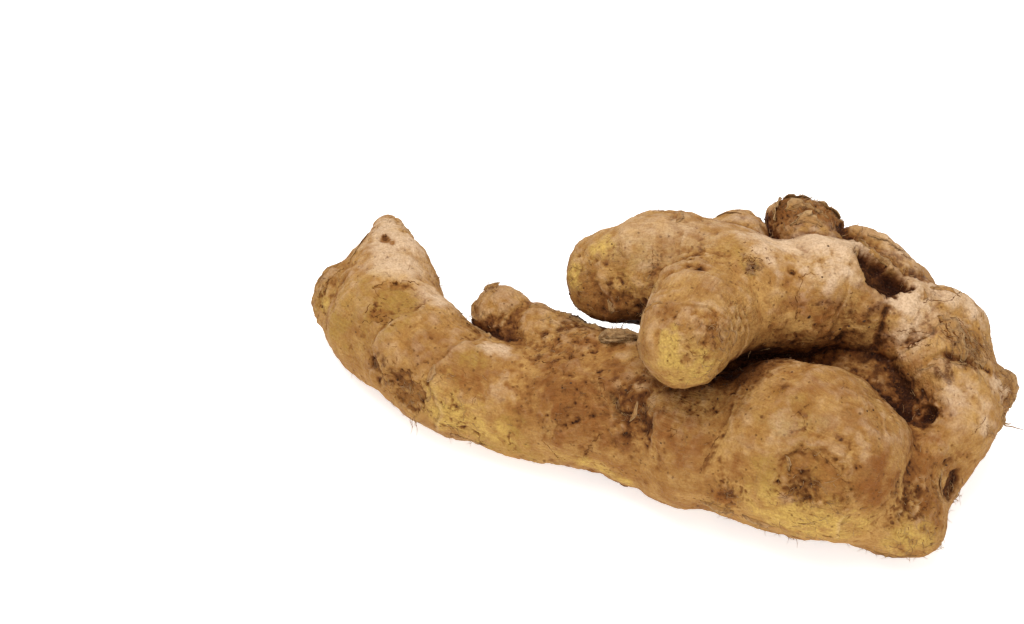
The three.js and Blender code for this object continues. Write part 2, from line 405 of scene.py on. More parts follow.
# %% [markdown]
# Between the rings the flesh has slow swellings and dimples. The skin over it has fine wrinkles along
# the lobe, and a net of short folds where it dried.

# %% Press in swellings and wrinkles
LUMPS = ((13, 1, 1.0, 0.95), (6.5, 1, 6.0, 0.55), (3.0, 2, 2.0, 0.32), (1.7, 1, 12.0, 0.08))
WRINKLE_STRETCH = (1.0, 0.3, 0.3)
WRINKLE_HEIGHT = 0.07
FINE_NET_SHARE = 0.8
NET_DEPTH = 0.26
FOLD_DEPTH, FOLD_WIDTH = 0.5, 1.4


def crease_net(size, width, shift):
    """Thin valleys where a slow noise crosses zero, which join up into a net."""
    return np.exp(-((waviness(points, size, 2, shift) / width) ** 2))


sleeve = np.stack([along, *across.T], 1)
lumps = layered(points, LUMPS)
net_patches = smoothstep(waviness(points, 9, 1, shift=61.0), -0.05, 0.4)
net = (crease_net(7.0, 0.035, 63.0) + FINE_NET_SHARE * crease_net(4.0, 0.05, 67.0)) * net_patches
wrinkles = waviness(sleeve * WRINKLE_STRETCH, 1.6, 2, shift=5.0) * WRINKLE_HEIGHT - NET_DEPTH * net
fold = -FOLD_DEPTH * (1 - soft) * np.exp(-((crease / FOLD_WIDTH) ** 2))
relief = swell + wrinkles + lumps + fold
print("relief from", round(relief.min(), 2), "to", round(relief.max(), 2), "mm")

# %% [markdown]
# ## Marks placed one by one
# A bruise or a scar belongs at one place, so each is named and given by the pixel at which the camera
# sees it. A ray from the camera finds the point of the skin, and from there on the mark lives on the
# skin in three dimensions. Noise bends its outline, because nothing on a root is a neat disc.

# %% Find marks on the skin


def surface_of(piece):
    """A search tree over the faces of the piece."""
    return BVHTree.FromObject(piece, bpy.context.evaluated_depsgraph_get())


surface = surface_of(skin)
ragged = waviness(points, 3.2, 3, shift=30.0)
ragged_fine = waviness(points, 1.1, 2, shift=40.0)


def seen(px, py):
    """The point of the skin at a pixel, or beside it where the pixel just misses, and its normal."""
    for miss in range(9):
        for turn in range(8):
            angle = turn * math.pi / 4
            way = sight(px + miss * math.cos(angle), py + miss * math.sin(angle))
            place, normal, _, _ = surface.ray_cast(eye, way)
            if place is not None:
                return np.array(place) / MM, np.array(normal)
    raise ValueError(f"pixel {px}, {py} is off the root")


def patch(px, py, radius, stretch=1.0, lean=0.0, torn=0.35, soft=0.25):
    """How much each point is inside a ragged patch. It is stretched along a lean, in frame degrees."""
    centre, _ = seen(px, py)
    turn = math.radians(lean)
    longways = np.array(Vector((math.cos(turn), 0, 0)) + upward * math.sin(turn))
    offset = points - centre
    lengthways = offset @ longways
    distance = np.sqrt((offset ** 2).sum(1) + lengthways ** 2 * (1 / stretch ** 2 - 1))
    inside = 1 - distance / radius + torn * ragged + 0.3 * torn * ragged_fine
    return smoothstep(inside, 0, soft)


def patches(marks):
    """The strongest of several patches at each point, where they overlap."""
    return np.max([patch(*mark) for mark in marks.values()], axis=0)


print("the middle of the frame is", [round(part) for part in seen(700, 420)[0]], "mm")

# %% [markdown]
# Where the skin is rubbed thin, the yellow flesh shines through, and where it was pressed it turns
# olive. Yellow patches on the lower edges are partly painted bounce light from the floor. Every mark
# is listed as pixel x, pixel y, radius in mm, stretch, lean in degrees, raggedness and softness. A
# softness above 1 gives a mark that stays faint even in its middle.

# %% List the bruises and the bare flesh
OLIVE_BRUISES = {
    "shaved_patch": (399, 298, 6.2, 1.2, 5, 0.5, 0.5),
    "left_flank": (338, 330, 8.0, 0.8, -30, 0.6, 0.8),
    "left_rim": (318, 300, 5.0, 0.6, -10, 0.6, 0.8),
    "beside_big_scar": (764, 476, 7.0, 0.8, -10, 0.5, 0.6),
    "under_left_tear": (512, 430, 4.2, 1.4, -20, 0.6, 0.6),
    "left_top_spot": (474, 362, 4.0, 1.2, 0, 0.6, 0.8),
    "arm_grey_top": (735, 248, 5.0, 1.4, -40, 0.6, 0.8),
    "trunk_underside": (500, 445, 6.0, 3.0, -18, 0.6, 0.8),
    "left_whole": (360, 300, 15.0, 0.9, -30, 0.9, 1.6),
    "left_olive": (388, 308, 9.5, 1.1, -20, 0.6, 0.7),
    "knuckle_face": (790, 425, 11.0, 1.3, -10, 0.9, 1.6),
    "arm_whole": (640, 260, 14.0, 1.6, 10, 0.9, 1.8),
    "scab": (752, 263, 3.6, 1.0, -20, 0.7, 0.8),
}
# on the lower edges, thumb_low, trunk_edge, below_big_scar, edge_below_scar and heel_corner are partly
# painted bounce light
YELLOW_FLESH_AND_BOUNCE = {
    "thumb_stripe": (668, 348, 5.8, 0.55, -8, 0.35, 0.35),
    "thumb_stripe_core": (669, 350, 4.6, 0.5, -8, 0.3, 0.3),
    "thumb_face": (690, 352, 7.5, 1.0, 0, 0.9, 2.0),
    "thumb_low": (692, 376, 8.0, 1.6, 0, 0.7, 0.9),
    "arm_end": (573, 274, 5.6, 0.5, -10, 0.4, 0.6),
    "arm_end_top": (600, 246, 4.0, 1.4, 35, 0.5, 0.6),
    "left_streaks": (447, 412, 8.0, 1.6, -24, 0.7, 0.7),
    "left_streaks_low": (478, 428, 6.0, 2.0, -20, 0.7, 0.8),
    "below_big_scar": (808, 521, 8.0, 2.6, -14, 0.6, 0.7),
    "edge_below_scar": (775, 520, 5.0, 2.6, -16, 0.5, 0.7),
    "trunk_edge": (600, 470, 4.0, 5.0, -14, 0.6, 0.9),
    "left_rim": (322, 300, 5.0, 0.6, -10, 0.8, 1.0),
    "scar_inside": (826, 474, 6.5, 1.2, -30, 0.7, 2.4),
    "heel_corner": (915, 536, 6.5, 1.5, -10, 0.7, 0.9),
}
olive = patches(OLIVE_BRUISES)
yellow = patches(YELLOW_FLESH_AND_BOUNCE)
print("bruises:", len(OLIVE_BRUISES), "bare patches:", len(YELLOW_FLESH_AND_BOUNCE))

# %% [markdown]
# Flesh that dried near a wound is stained red-brown, and the hollows between the lobes have older,
# browner skin. The red and brown patches on the undersides, under the thumb and in the hollows are
# partly painted shade as well.

# %% List the red and the brown stains
# arm_under, upper_under and bend_under, on the undersides, are partly painted shade
RED_STAINS_AND_SHADE = {
    "left_orange": (472, 378, 6.0, 1.5, 0, 0.7, 0.9),
    "middle_boss": (560, 396, 9.0, 1.2, 0, 0.6, 0.8),
    "middle_low": (628, 430, 7.0, 0.8, -20, 0.8, 1.0),
    "middle_right": (690, 450, 7.0, 1.0, 0, 0.8, 1.0),
    "knuckle_edge": (735, 465, 5.0, 0.6, -10, 0.7, 0.9),
    "scar_rim": (822, 466, 5.4, 1.4, -40, 0.4, 0.7),
    "scar_inside": (826, 473, 5.5, 1.3, -35, 0.5, 0.6),
    "heel_valley": (912, 470, 7.0, 0.5, -10, 0.7, 0.9),
    "heel_front": (922, 515, 7.0, 0.7, -10, 0.8, 1.0),
    "left_notch": (375, 362, 3.6, 0.6, -10, 0.6, 0.8),
    "thumb_right": (708, 336, 9.0, 0.8, -30, 0.8, 1.2),
    "crusty_spot": (725, 497, 4.0, 1.0, 0, 0.5, 0.6),
    "bend_left": (885, 350, 6.0, 0.8, -20, 0.8, 1.0),
    "bud": (490, 324, 3.4, 1.0, 0, 0.7, 1.0),
    "middle_whole": (585, 405, 17.0, 1.5, -20, 0.8, 1.0),
    "middle_core": (566, 400, 9.0, 1.4, -20, 0.7, 0.7),
    "scar_low_right": (836, 478, 5.0, 1.6, -50, 0.6, 0.8),
    "scar_top_left": (792, 466, 4.0, 1.4, -20, 0.6, 0.9),
    "middle_second": (664, 428, 11.0, 1.0, -15, 0.8, 1.2),
    "knuckle_left": (738, 462, 6.0, 0.7, -10, 0.8, 1.2),
    "knuckle_whole": (800, 392, 9.0, 1.4, -10, 0.9, 1.4),
    "knuckle_pink": (832, 425, 6.0, 1.2, -20, 0.7, 1.2),
    "heel_whole": (925, 465, 15.0, 0.8, -10, 0.8, 1.2),
    "heel_end": (935, 525, 5.0, 1.2, 0, 0.8, 1.0),
    "arm_pit": (699, 269, 2.6, 1.2, 0, 0.6, 0.9),
    "tip_pit": (386, 240, 2.8, 1.5, -70, 0.9, 1.0),
    "left_eye": (377, 314, 4.2, 1.2, -30, 0.8, 1.2),
    "scar_right": (832, 468, 3.6, 1.6, -50, 0.6, 0.8),
    "plane_whole": (874, 482, 7.0, 1.5, -75, 0.5, 0.6),
    "arm_under": (612, 303, 7.5, 2.2, 0, 0.8, 1.2),
    "upper_under": (820, 318, 9.0, 2.4, -5, 0.9, 1.4),
    "bend_under": (905, 372, 5.0, 1.4, -10, 0.8, 1.6),
    "stub_whole": (808, 208, 11.0, 1.6, 0, 0.7, 1.0),
    "left_middle": (440, 345, 9.0, 1.3, -30, 0.8, 2.6),
}
# under_thumb, knuckle_shade, arm_underside, arm_low, upper_underside, middle_valley and flap_hollow are
# partly painted shade
BROWN_STAINS_AND_SHADE = {
    "under_thumb": (612, 392, 9.0, 2.2, -22, 0.7, 0.9),
    "middle_valley": (632, 408, 8.0, 0.7, -15, 0.8, 0.9),
    "arm_underside": (612, 312, 6.0, 3.0, -6, 0.5, 0.8),
    "arm_corner": (668, 308, 5.0, 0.6, -30, 0.6, 0.9),
    "upper_underside": (830, 340, 5.0, 3.4, 0, 0.5, 0.9),
    "bend_foot": (882, 392, 8.5, 0.9, 40, 0.6, 0.8),
    "pit_valley": (915, 405, 7.0, 1.2, -40, 0.7, 0.8),
    "left_bud": (500, 333, 4.0, 1.0, 0, 0.7, 1.2),
    "shoulder": (575, 345, 6.0, 2.0, -20, 0.7, 1.2),
    "stub": (808, 208, 8.0, 1.8, 0, 0.5, 0.8),
    "flap_hollow": (880, 270, 5.0, 1.8, -40, 0.3, 0.6),
    "bend_scale": (958, 338, 6.0, 0.8, 40, 0.6, 0.8),
    "knuckle_shade": (748, 372, 8.0, 1.6, 0, 0.5, 0.8),
    "upper_right": (872, 304, 5.6, 1.3, 75, 0.8, 0.9),
    "pinkish_plane": (872, 480, 7.0, 0.7, -10, 0.6, 1.0),
    "left_spot": (357, 332, 2.2, 1.0, 0, 0.7, 0.8),
    "tip_pit": (387, 240, 2.6, 1.2, -40, 0.8, 1.0),
    "torn_root": (403, 384, 4.5, 1.2, -20, 0.9, 1.2),
    "left_shade": (435, 356, 7.0, 1.6, -30, 0.8, 2.0),
    "middle_boss": (558, 398, 10.0, 1.3, -20, 0.8, 1.2),
    "middle_second": (655, 425, 7.0, 1.0, -20, 0.8, 1.4),
    "heel_middle": (915, 465, 7.0, 0.8, 0, 0.9, 1.4),
    "arm_low": (612, 305, 8.0, 2.6, -8, 0.6, 1.0),
    "thumb_left": (646, 348, 3.6, 1.6, 80, 0.6, 0.9),
    "middle_crease": (622, 402, 7.0, 1.6, -50, 0.8, 1.2),
}
red = patches(RED_STAINS_AND_SHADE)
brown = patches(BROWN_STAINS_AND_SHADE)
print("red stains:", len(RED_STAINS_AND_SHADE), "brown stains:", len(BROWN_STAINS_AND_SHADE))

# %% [markdown]
# The stumps of torn roots are dark and woody, and dark patches also paint shade into crevices and
# hollows. Round them the skin is rough with warts and crusts, and on the tops of the lobes dust has
# dried to a pale bloom, partly a painted highlight.

# %% List the dark, the rough and the pale places
# crevice_thumb, under_arm, flap_hollow and middle_valley are painted shade in a crevice or hollow
DARK_ROOTS_AND_SHADE = {
    "branch_middle": (797, 489, 3.6, 1.3, 0, 0.9, 1.1),
    "root_pit": (929, 415, 2.8, 1.2, 20, 0.7, 0.9),
    "end_hollow": (953, 487, 4.2, 0.6, -15, 0.4, 0.7),
    "scab_top": (747, 257, 1.1, 1.3, -30, 0.9, 0.7),
    "scab_middle": (753, 263, 1.5, 1.2, 60, 0.9, 0.7),
    "scab_low": (749, 270, 1.0, 1.4, 10, 0.9, 0.7),
    "scab_right": (759, 269, 0.8, 1.4, -60, 0.9, 0.7),
    "arm_pit": (699, 269, 1.5, 1.0, 0, 0.4, 0.6),
    "tip_pit": (385, 237, 0.9, 1.4, 50, 1.3, 1.3),
    "middle_valley": (626, 402, 9.0, 1.5, -60, 1.2, 1.8),
    "middle_boss": (556, 400, 8.0, 1.3, -20, 1.2, 3.0),
    "heel_red": (910, 500, 7.0, 0.8, -10, 1.2, 3.0),
    "left_edge_low": (395, 372, 4.0, 1.4, -40, 1.0, 2.2),
    "crevice_thumb": (748, 374, 5.0, 1.8, 0, 0.8, 2.4),
    "stub_face": (806, 206, 8.0, 1.6, 0, 1.0, 2.6),
    "red_pit": (918, 490, 1.4, 1.0, 0, 0.6, 0.8),
    "eye_middle": (645, 302, 1.6, 1.0, 0, 0.6, 0.8),
    "flap_hollow": (881, 270, 5.6, 1.7, -40, 0.3, 0.4),
    "bend_low": (968, 363, 2.6, 3.5, -14, 0.5, 0.8),
    "under_arm": (760, 350, 3.0, 4.0, 0, 0.6, 0.9),
}
ROUGH_SKIN = {
    "thumb_bumps": (705, 335, 11.0, 0.9, -20, 0.6, 0.9),
    "thumb_face": (682, 350, 12.0, 1.0, 0, 0.7, 0.9),
    "middle_whole": (600, 405, 18.0, 1.6, -20, 0.9, 1.2),
    "thumb_end": (690, 375, 6.0, 1.6, 0, 0.6, 0.8),
    "torn_root": (408, 390, 8.0, 1.3, -20, 0.6, 0.8),
    "left_streaks": (450, 415, 8.0, 1.8, -24, 0.6, 0.8),
    "shoulder": (570, 338, 11.0, 1.8, -20, 0.6, 0.9),
    "bud": (503, 322, 8.0, 1.2, 0, 0.6, 0.9),
    "middle_valley": (632, 415, 8.0, 0.9, -15, 0.8, 0.9),
    "crusty_spot": (725, 495, 6.0, 1.0, 0, 0.6, 0.6),
    "big_scar": (810, 490, 9.0, 1.6, -14, 0.6, 0.8),
    "heel_front": (918, 505, 14.0, 0.9, -10, 0.7, 0.9),
    "pit_valley": (900, 405, 11.0, 1.4, -30, 0.7, 0.9),
    "ear_corner": (1003, 390, 8.0, 0.8, 0, 0.6, 0.8),
    "bend_scale": (962, 338, 9.0, 0.9, 40, 0.7, 0.9),
    "stub_crown": (808, 205, 12.0, 1.8, 0, 0.6, 0.8),
    "flap": (885, 258, 7.0, 1.8, -40, 0.6, 0.8),
    "arm_end": (585, 262, 9.0, 0.8, 0, 0.7, 0.9),
    "under_arm": (640, 305, 9.0, 2.4, -5, 0.7, 0.9),
    "upper_under": (835, 325, 11.0, 2.4, 0, 0.7, 0.9),
    "arm_valley": (735, 320, 9.0, 0.8, 0, 0.7, 0.9),
}
# pale dust, partly a painted highlight on the tops of the lobes
PALE_DUST_AND_HIGHLIGHTS = {
    "tip": (396, 240, 10.0, 1.0, -40, 0.4, 0.7),
    "tip_left": (366, 262, 5.0, 1.0, 0, 0.6, 1.6),
    "tip_low": (398, 261, 9.2, 1.25, -10, 0.3, 0.8),
    "tip_top": (389, 225, 6.0, 1.0, 0, 0.4, 0.8),
    "tip_foot": (433, 297, 6.0, 2.0, -65, 0.5, 1.0),
    "left_edge": (497, 350, 4.0, 1.4, -40, 0.5, 0.8),
    "upper_top": (806, 238, 12.0, 1.7, 0, 0.4, 0.6),
    "upper_face": (830, 275, 8.0, 1.2, 0, 0.8, 1.2),
    "bend_cap": (918, 318, 8.0, 1.4, 20, 0.5, 1.6),
    "bend_patch": (905, 303, 5.6, 1.2, 10, 0.5, 0.6),
    "bend_bands": (905, 338, 5.0, 2.0, 8, 0.7, 1.5),
    "arm_top": (668, 232, 11.0, 2.4, 0, 0.7, 2.2),
    "arm_face": (652, 262, 7.0, 1.3, 0, 0.7, 2.4),
    "back_bud": (740, 219, 5.0, 1.4, 0, 0.7, 2.2),
    "knuckle_pink": (832, 422, 5.0, 1.2, -20, 0.7, 3.0),
    "heel_top": (965, 396, 6.0, 1.8, 5, 0.8, 2.2),
    "heel_right": (985, 420, 5.0, 0.7, -10, 0.7, 1.4),
    "arm_knuckle": (762, 250, 6.0, 1.4, -40, 0.6, 0.9),
    "flap": (899, 246, 6.0, 2.0, -40, 0.7, 2.0),
    "ear": (1000, 386, 6.0, 1.0, 0, 0.7, 1.0),
    "bend_top": (950, 296, 9.0, 1.6, -20, 0.8, 1.2),
    "knuckle_pale": (785, 428, 6.0, 1.0, 0, 0.8, 2.4),
}
LEAST_ROUGH, ROUGH_BY_CHANCE = 0.2, 0.6
dark = patches(DARK_ROOTS_AND_SHADE)
pale = patches(PALE_DUST_AND_HIGHLIGHTS)
rough_spots = smoothstep(waviness(points, 16, 1, shift=71.0), 0.25, 0.6)
rough_anywhere = LEAST_ROUGH + ROUGH_BY_CHANCE * rough_spots
rough = np.maximum(patches(ROUGH_SKIN), rough_anywhere)
print("dark:", len(DARK_ROOTS_AND_SHADE), "rough:", len(ROUGH_SKIN), "dusty:", len(PALE_DUST_AND_HIGHLIGHTS))

# %% [markdown]
# The sides turned away from the camera can't be marked by its pixels, so there slow noise stains them
# by chance, in the same kinds of patches.

# %% Stain the hidden sides
facing = -(normals @ np.array(forward))
unseen = 1 - smoothstep(facing, -0.1, 0.3)


def slow_stain(size, shift, low):
    """Patches of about this size on the hidden sides, where the noise is above low."""
    return unseen * smoothstep(waviness(points, size, 2, shift), low, low + 0.4)


brown = np.maximum(brown, 0.8 * slow_stain(15, 101.0, 0.0))
red = np.maximum(red, 0.7 * slow_stain(19, 103.0, 0.1))
olive = np.maximum(olive, slow_stain(12, 105.0, 0.15))
pale = np.maximum(pale, 0.7 * slow_stain(14, 107.0, 0.2))
print("hidden points:", int((unseen > 0.9).sum()))

# %% [markdown]
# Where a bud or a root dried up, the skin is dotted with small dark crusts. They come in groups, so
# only the middle of each group is listed and the crusts round it fall by chance.

# %% Dot the skin with dark crusts
# pixel x, pixel y, spread in pixels, how many, radius in mm
CRUSTS = {
    "bend_left": (874, 352, 15, 18, 0.9),
    "bend_foot": (893, 378, 18, 14, 1.0),
    "bend_right": (945, 370, 9, 8, 0.9),
    "upper_under": (845, 325, 26, 12, 0.7),
    "upper_right": (872, 312, 9, 8, 0.7),
    "middle_valley": (622, 400, 22, 16, 0.9),
    "shoulder": (556, 342, 24, 12, 0.7),
    "knuckle_top": (768, 380, 20, 8, 0.7),
    "heel_front": (914, 500, 18, 16, 0.8),
    "crusty_spot": (724, 490, 9, 8, 0.8),
    "thumb_side": (712, 336, 9, 7, 0.6),
    "arm_under": (618, 298, 24, 12, 0.7),
    "left_notch": (378, 358, 7, 5, 0.7),
    "bud": (494, 328, 8, 7, 0.8),
}
CRUST_SIZES, CRUST_STRETCHES = (0.6, 1.4), (1.0, 1.8)
CRUST_DARKNESS = 0.95

crust_chance = random.Random(5)
for px, py, spread, count, radius in CRUSTS.values():
    for _ in range(count):
        beside = [at + spread * crust_chance.uniform(-1, 1) for at in (px, py)]
        size = radius * crust_chance.uniform(*CRUST_SIZES)
        stretch = crust_chance.uniform(*CRUST_STRETCHES)
        crust = patch(*beside, size, stretch, crust_chance.uniform(0, 180), torn=0.6, soft=0.4)
        dark = np.maximum(dark, CRUST_DARKNESS * crust)
print("crusts:", sum(group[3] for group in CRUSTS.values()))

# %% [markdown]
# ## Swellings and hollows
# A lobe isn't evenly round: buds that never opened leave low bosses, and between them the flesh sinks.
# Each is a patch as above, then the height in mm by which it swells, or sinks where it is negative.

# %% Raise the swellings
BOSSES = {
    "arm_fork": ((677, 270, 4.6, 2.6, 40, 0.2, 1.0), 1.4),
    "middle_boss": ((566, 402, 13.0, 1.2, -25, 0.25, 1.0), 1.8),
    "middle_low": ((600, 448, 9.0, 1.6, -20, 0.25, 1.0), 0.6),
    "second_boss": ((682, 436, 10.0, 1.0, -15, 0.25, 1.0), 1.3),
    "middle_valley": ((630, 408, 6.5, 2.2, -60, 0.3, 0.9), -1.7),
    "left_valley": ((527, 398, 5.0, 2.4, -85, 0.3, 1.0), -0.9),
    "left_upper": ((455, 352, 10.0, 1.4, -35, 0.3, 1.0), 0.9),
    "left_face": ((326, 300, 8.0, 1.4, 70, 0.2, 0.8), -1.3),
    "tip_notch": ((347, 264, 4.0, 1.6, 0, 0.2, 1.0), -0.9),
    "left_notch": ((374, 368, 4.5, 1.6, -55, 0.3, 0.9), -1.4),
    "knuckle_step": ((856, 470, 4.0, 3.0, -75, 0.3, 1.0), -0.8),
    "knuckle_plane": ((876, 478, 8.0, 1.6, -75, 0.3, 1.0), 0.7),
    "heel_valley": ((910, 490, 5.0, 2.4, -75, 0.3, 1.0), -0.8),
    "heel_boss": ((928, 455, 8.0, 1.0, 0, 0.3, 1.0), 0.7),
    "sheath_valley": ((712, 445, 4.0, 2.6, 68, 0.3, 1.0), -0.9),
    "thumb_left": ((648, 350, 4.6, 1.6, 80, 0.3, 1.0), 0.9),
    "thumb_bump": ((694, 353, 3.2, 1.8, 15, 0.5, 1.0), 0.7),
    "thumb_bump_low": ((706, 366, 3.0, 1.2, -30, 0.5, 1.0), 0.7),
    "thumb_bump_top": ((702, 334, 3.0, 1.2, 30, 0.5, 1.0), 0.6),
    "thumb_dent": ((701, 359, 1.8, 1.8, -20, 0.6, 1.0), -0.7),
    "thumb_side": ((716, 345, 5.0, 1.0, 0, 0.4, 1.0), 0.8),
    "thumb_fold": ((705, 318, 3.0, 2.4, -50, 0.4, 1.0), -0.6),
    "arm_dip": ((614, 265, 4.0, 2.4, -80, 0.3, 1.0), -0.6),
    "arm_corner": ((655, 300, 7.0, 1.4, -40, 0.3, 1.0), 0.7),
    "upper_plate": ((838, 290, 9.0, 1.5, 75, 0.25, 0.8), 0.4),
    "upper_left_dip": ((790, 296, 3.4, 2.6, 85, 0.3, 0.9), -0.5),
    "upper_boss": ((835, 250, 8.0, 1.2, -30, 0.3, 1.0), 0.8),
    "upper_corner": ((866, 312, 6.0, 1.2, 60, 0.3, 1.0), 0.9),
    "bend_boss": ((905, 305, 7.0, 1.2, 0, 0.3, 1.0), 0.8),
    "bend_dip": ((935, 332, 3.6, 2.6, 10, 0.3, 1.0), -0.6),
    "bend_low_boss": ((912, 360, 8.0, 1.6, 0, 0.3, 1.0), 0.8),
}
relief = relief + sum(height * patch(*mark) for mark, height in BOSSES.values())
print("swellings:", len(BOSSES), "relief up to", round(relief.max(), 1), "mm")

# %% [markdown]
# ## Scars
# Where a branch broke off, the cut dried into a shallow crater with a raised rim of skin and a dark,
# woody middle. A dead root leaves a small pit with a collar. Each scar is a patch that is pressed in,
# with a rim where its edge is.

# %% Press in the scars
# the patch as above, then depth and rim height in mm, how rough its floor is, and how stained
SCARS = {
    "broken_branch": ((814, 475, 8.6, 1.3, -22, 0.25, 0.34), 0.9, 0.4, 0.3, 0.9),
    "branch_middle": ((798, 489, 4.6, 1.3, 0, 0.4, 0.4), 0.6, 0.0, 0.4, 1),
    "shaved_patch": ((400, 298, 6.0, 1.3, 8, 0.3, 0.16), 0.6, 0.15, 0.2, 0.1),
    "torn_root": ((408, 388, 6.0, 1.2, -20, 0.4, 0.3), 0.5, 0.1, 0.25, 0.7),
    "root_pit": ((928, 415, 3.0, 1.2, 20, 0.5, 0.7), 1.3, 0.35, 0.5, 1),
    "end_hollow": ((952, 486, 5.2, 0.6, -15, 0.3, 0.5), 1.5, 0.4, 0.4, 1),
    "tip_pit": ((385, 237, 1.5, 1.4, 50, 1.1, 0.9), 0.5, 0.1, 0.2, 0.9),
    "tip_stain": ((387, 241, 2.5, 1.6, -70, 1.0, 1.3), 0.0, 0.0, 0.1, 0.9),
    "arm_pit": ((699, 269, 1.6, 1.0, 0, 0.3, 0.7), 1.1, 0.2, 0.1, 1),
    "small_hole": ((792, 271, 1.1, 1.5, 0, 0.3, 0.5), 0.9, 0.1, 0.1, 1),
    "flap_hollow": ((881, 269, 5.8, 1.7, -40, 0.3, 0.4), 4.4, 0.2, 0.5, 1),
    "left_eye": ((381, 317, 3.4, 1.2, -20, 0.5, 0.6), 0.15, 0.0, 0.1, 1.8),
    "left_spot": ((356, 332, 1.7, 1.2, -20, 0.6, 0.6), 0.1, 0.0, 0.1, 1.8),
    "shaved_edge": ((397, 284, 1.6, 4.0, 4, 0.5, 0.6), 0.3, 0.0, 0.1, 1.2),
    "red_pit": ((918, 490, 1.5, 1.2, 30, 0.6, 0.9), 0.5, 0.1, 0.3, 1),
}
scar_relief = np.zeros(len(points))
scar_floor = np.zeros(len(points))
scar_rim = np.zeros(len(points))
scarred = np.zeros(len(points))
rough_floor = waviness(points, 1.5, 2, shift=50.0)
for mark, depth, rim, unevenness, stained in SCARS.values():
    inside = patch(*mark)
    edge = 4 * inside * (1 - inside)
    scar_relief += rim * edge - depth * inside + unevenness * rough_floor * inside
    scar_floor = np.maximum(scar_floor, inside * stained)
    scarred = np.maximum(scarred, inside)
    scar_rim = np.maximum(scar_rim, edge * (rim > 0))

print("scars:", len(SCARS))

# %% [markdown]
# Dead roots left pits on the hidden sides as well. Those fall by chance, on points that are clear of
# the floor.

# %% Press in the hidden pits
HIDDEN_PITS = 34
SMALLEST_PIT, PIT_GROWTH, PIT_SIZES = 0.9, 0.02, 50
PIT_DEPTH, PIT_COLLAR = 0.55, 0.3
COLLAR_AT, COLLAR_WIDTH = 1.25, 0.35
FLOOR_CLEARANCE = 3

hidden_places = np.flatnonzero((unseen > 0.9) & (points[:, 2] > FLOOR_CLEARANCE)).tolist()
for index in random.Random(11).sample(hidden_places, HIDDEN_PITS):
    pit_radius = SMALLEST_PIT + PIT_GROWTH * (index % PIT_SIZES)
    reach = np.linalg.norm(points - points[index], axis=1) / pit_radius + 0.3 * ragged
    inside = 1 - smoothstep(reach, 0.5, 1.1)
    collar = np.exp(-(((reach - COLLAR_AT) / COLLAR_WIDTH) ** 2))
    scar_relief += PIT_COLLAR * collar - PIT_DEPTH * inside
    scar_floor = np.maximum(scar_floor, inside)
    scar_rim = np.maximum(scar_rim, 0.6 * collar)
    dark = np.maximum(dark, 0.7 * inside)
print("hidden pits:", HIDDEN_PITS)

# %% [markdown]
# Rough skin is covered with warts, with creases between them. A scar is smoother than the skin round
# it, so the relief is weakened there before the scars are pressed in.

# %% Raise the warts
SCAR_SMOOTHING = 0.7

creases = 0.5 - 1.3 * np.sqrt(np.abs(waviness(points, 3.6, 2, shift=86.0)))
bumps = layered(points, ((2.4, 3, 80.0, 0.5), (1.3, 1, 84.0, 0.2)))
warts = bumps - 0.8 * np.maximum(creases, 0)
relief = (relief + rough * warts) * (1 - SCAR_SMOOTHING * scarred) + scar_relief
print("warts up to", round(float(warts.max()), 2), "mm")

# %% [markdown]
# A sleeping bud shows as an eye: low ripples round one spot, which die out at its radius.

# %% Ripple the bud eyes
# pixel x, pixel y, radius in mm
BUD_EYES = {"arm_eye": (645, 302, 2.6), "left_eye": (381, 317, 3.8), "pit_collar": (926, 413, 5.5)}
RIPPLE_HEIGHT = 0.24
eye_lines = np.zeros(len(points))
for px, py, radius in BUD_EYES.values():
    eye_centre, _ = seen(px, py)
    reach = np.linalg.norm(points - eye_centre, axis=1) / radius + 0.15 * ragged
    ripples = np.cos(reach * 4 * math.pi) * np.exp(-((reach / 0.8) ** 4))
    relief = relief + RIPPLE_HEIGHT * ripples
    eye_lines = np.maximum(eye_lines, -ripples)
print("bud eyes:", len(BUD_EYES))

# %% [markdown]
# ## Cracks and ridges
# Cracks, folds and ridges are lines on the skin, listed by the pixels they pass through. The points
# are shifted a little by noise before their distance to the line is taken, so the line comes out
# wandering and uneven in width.

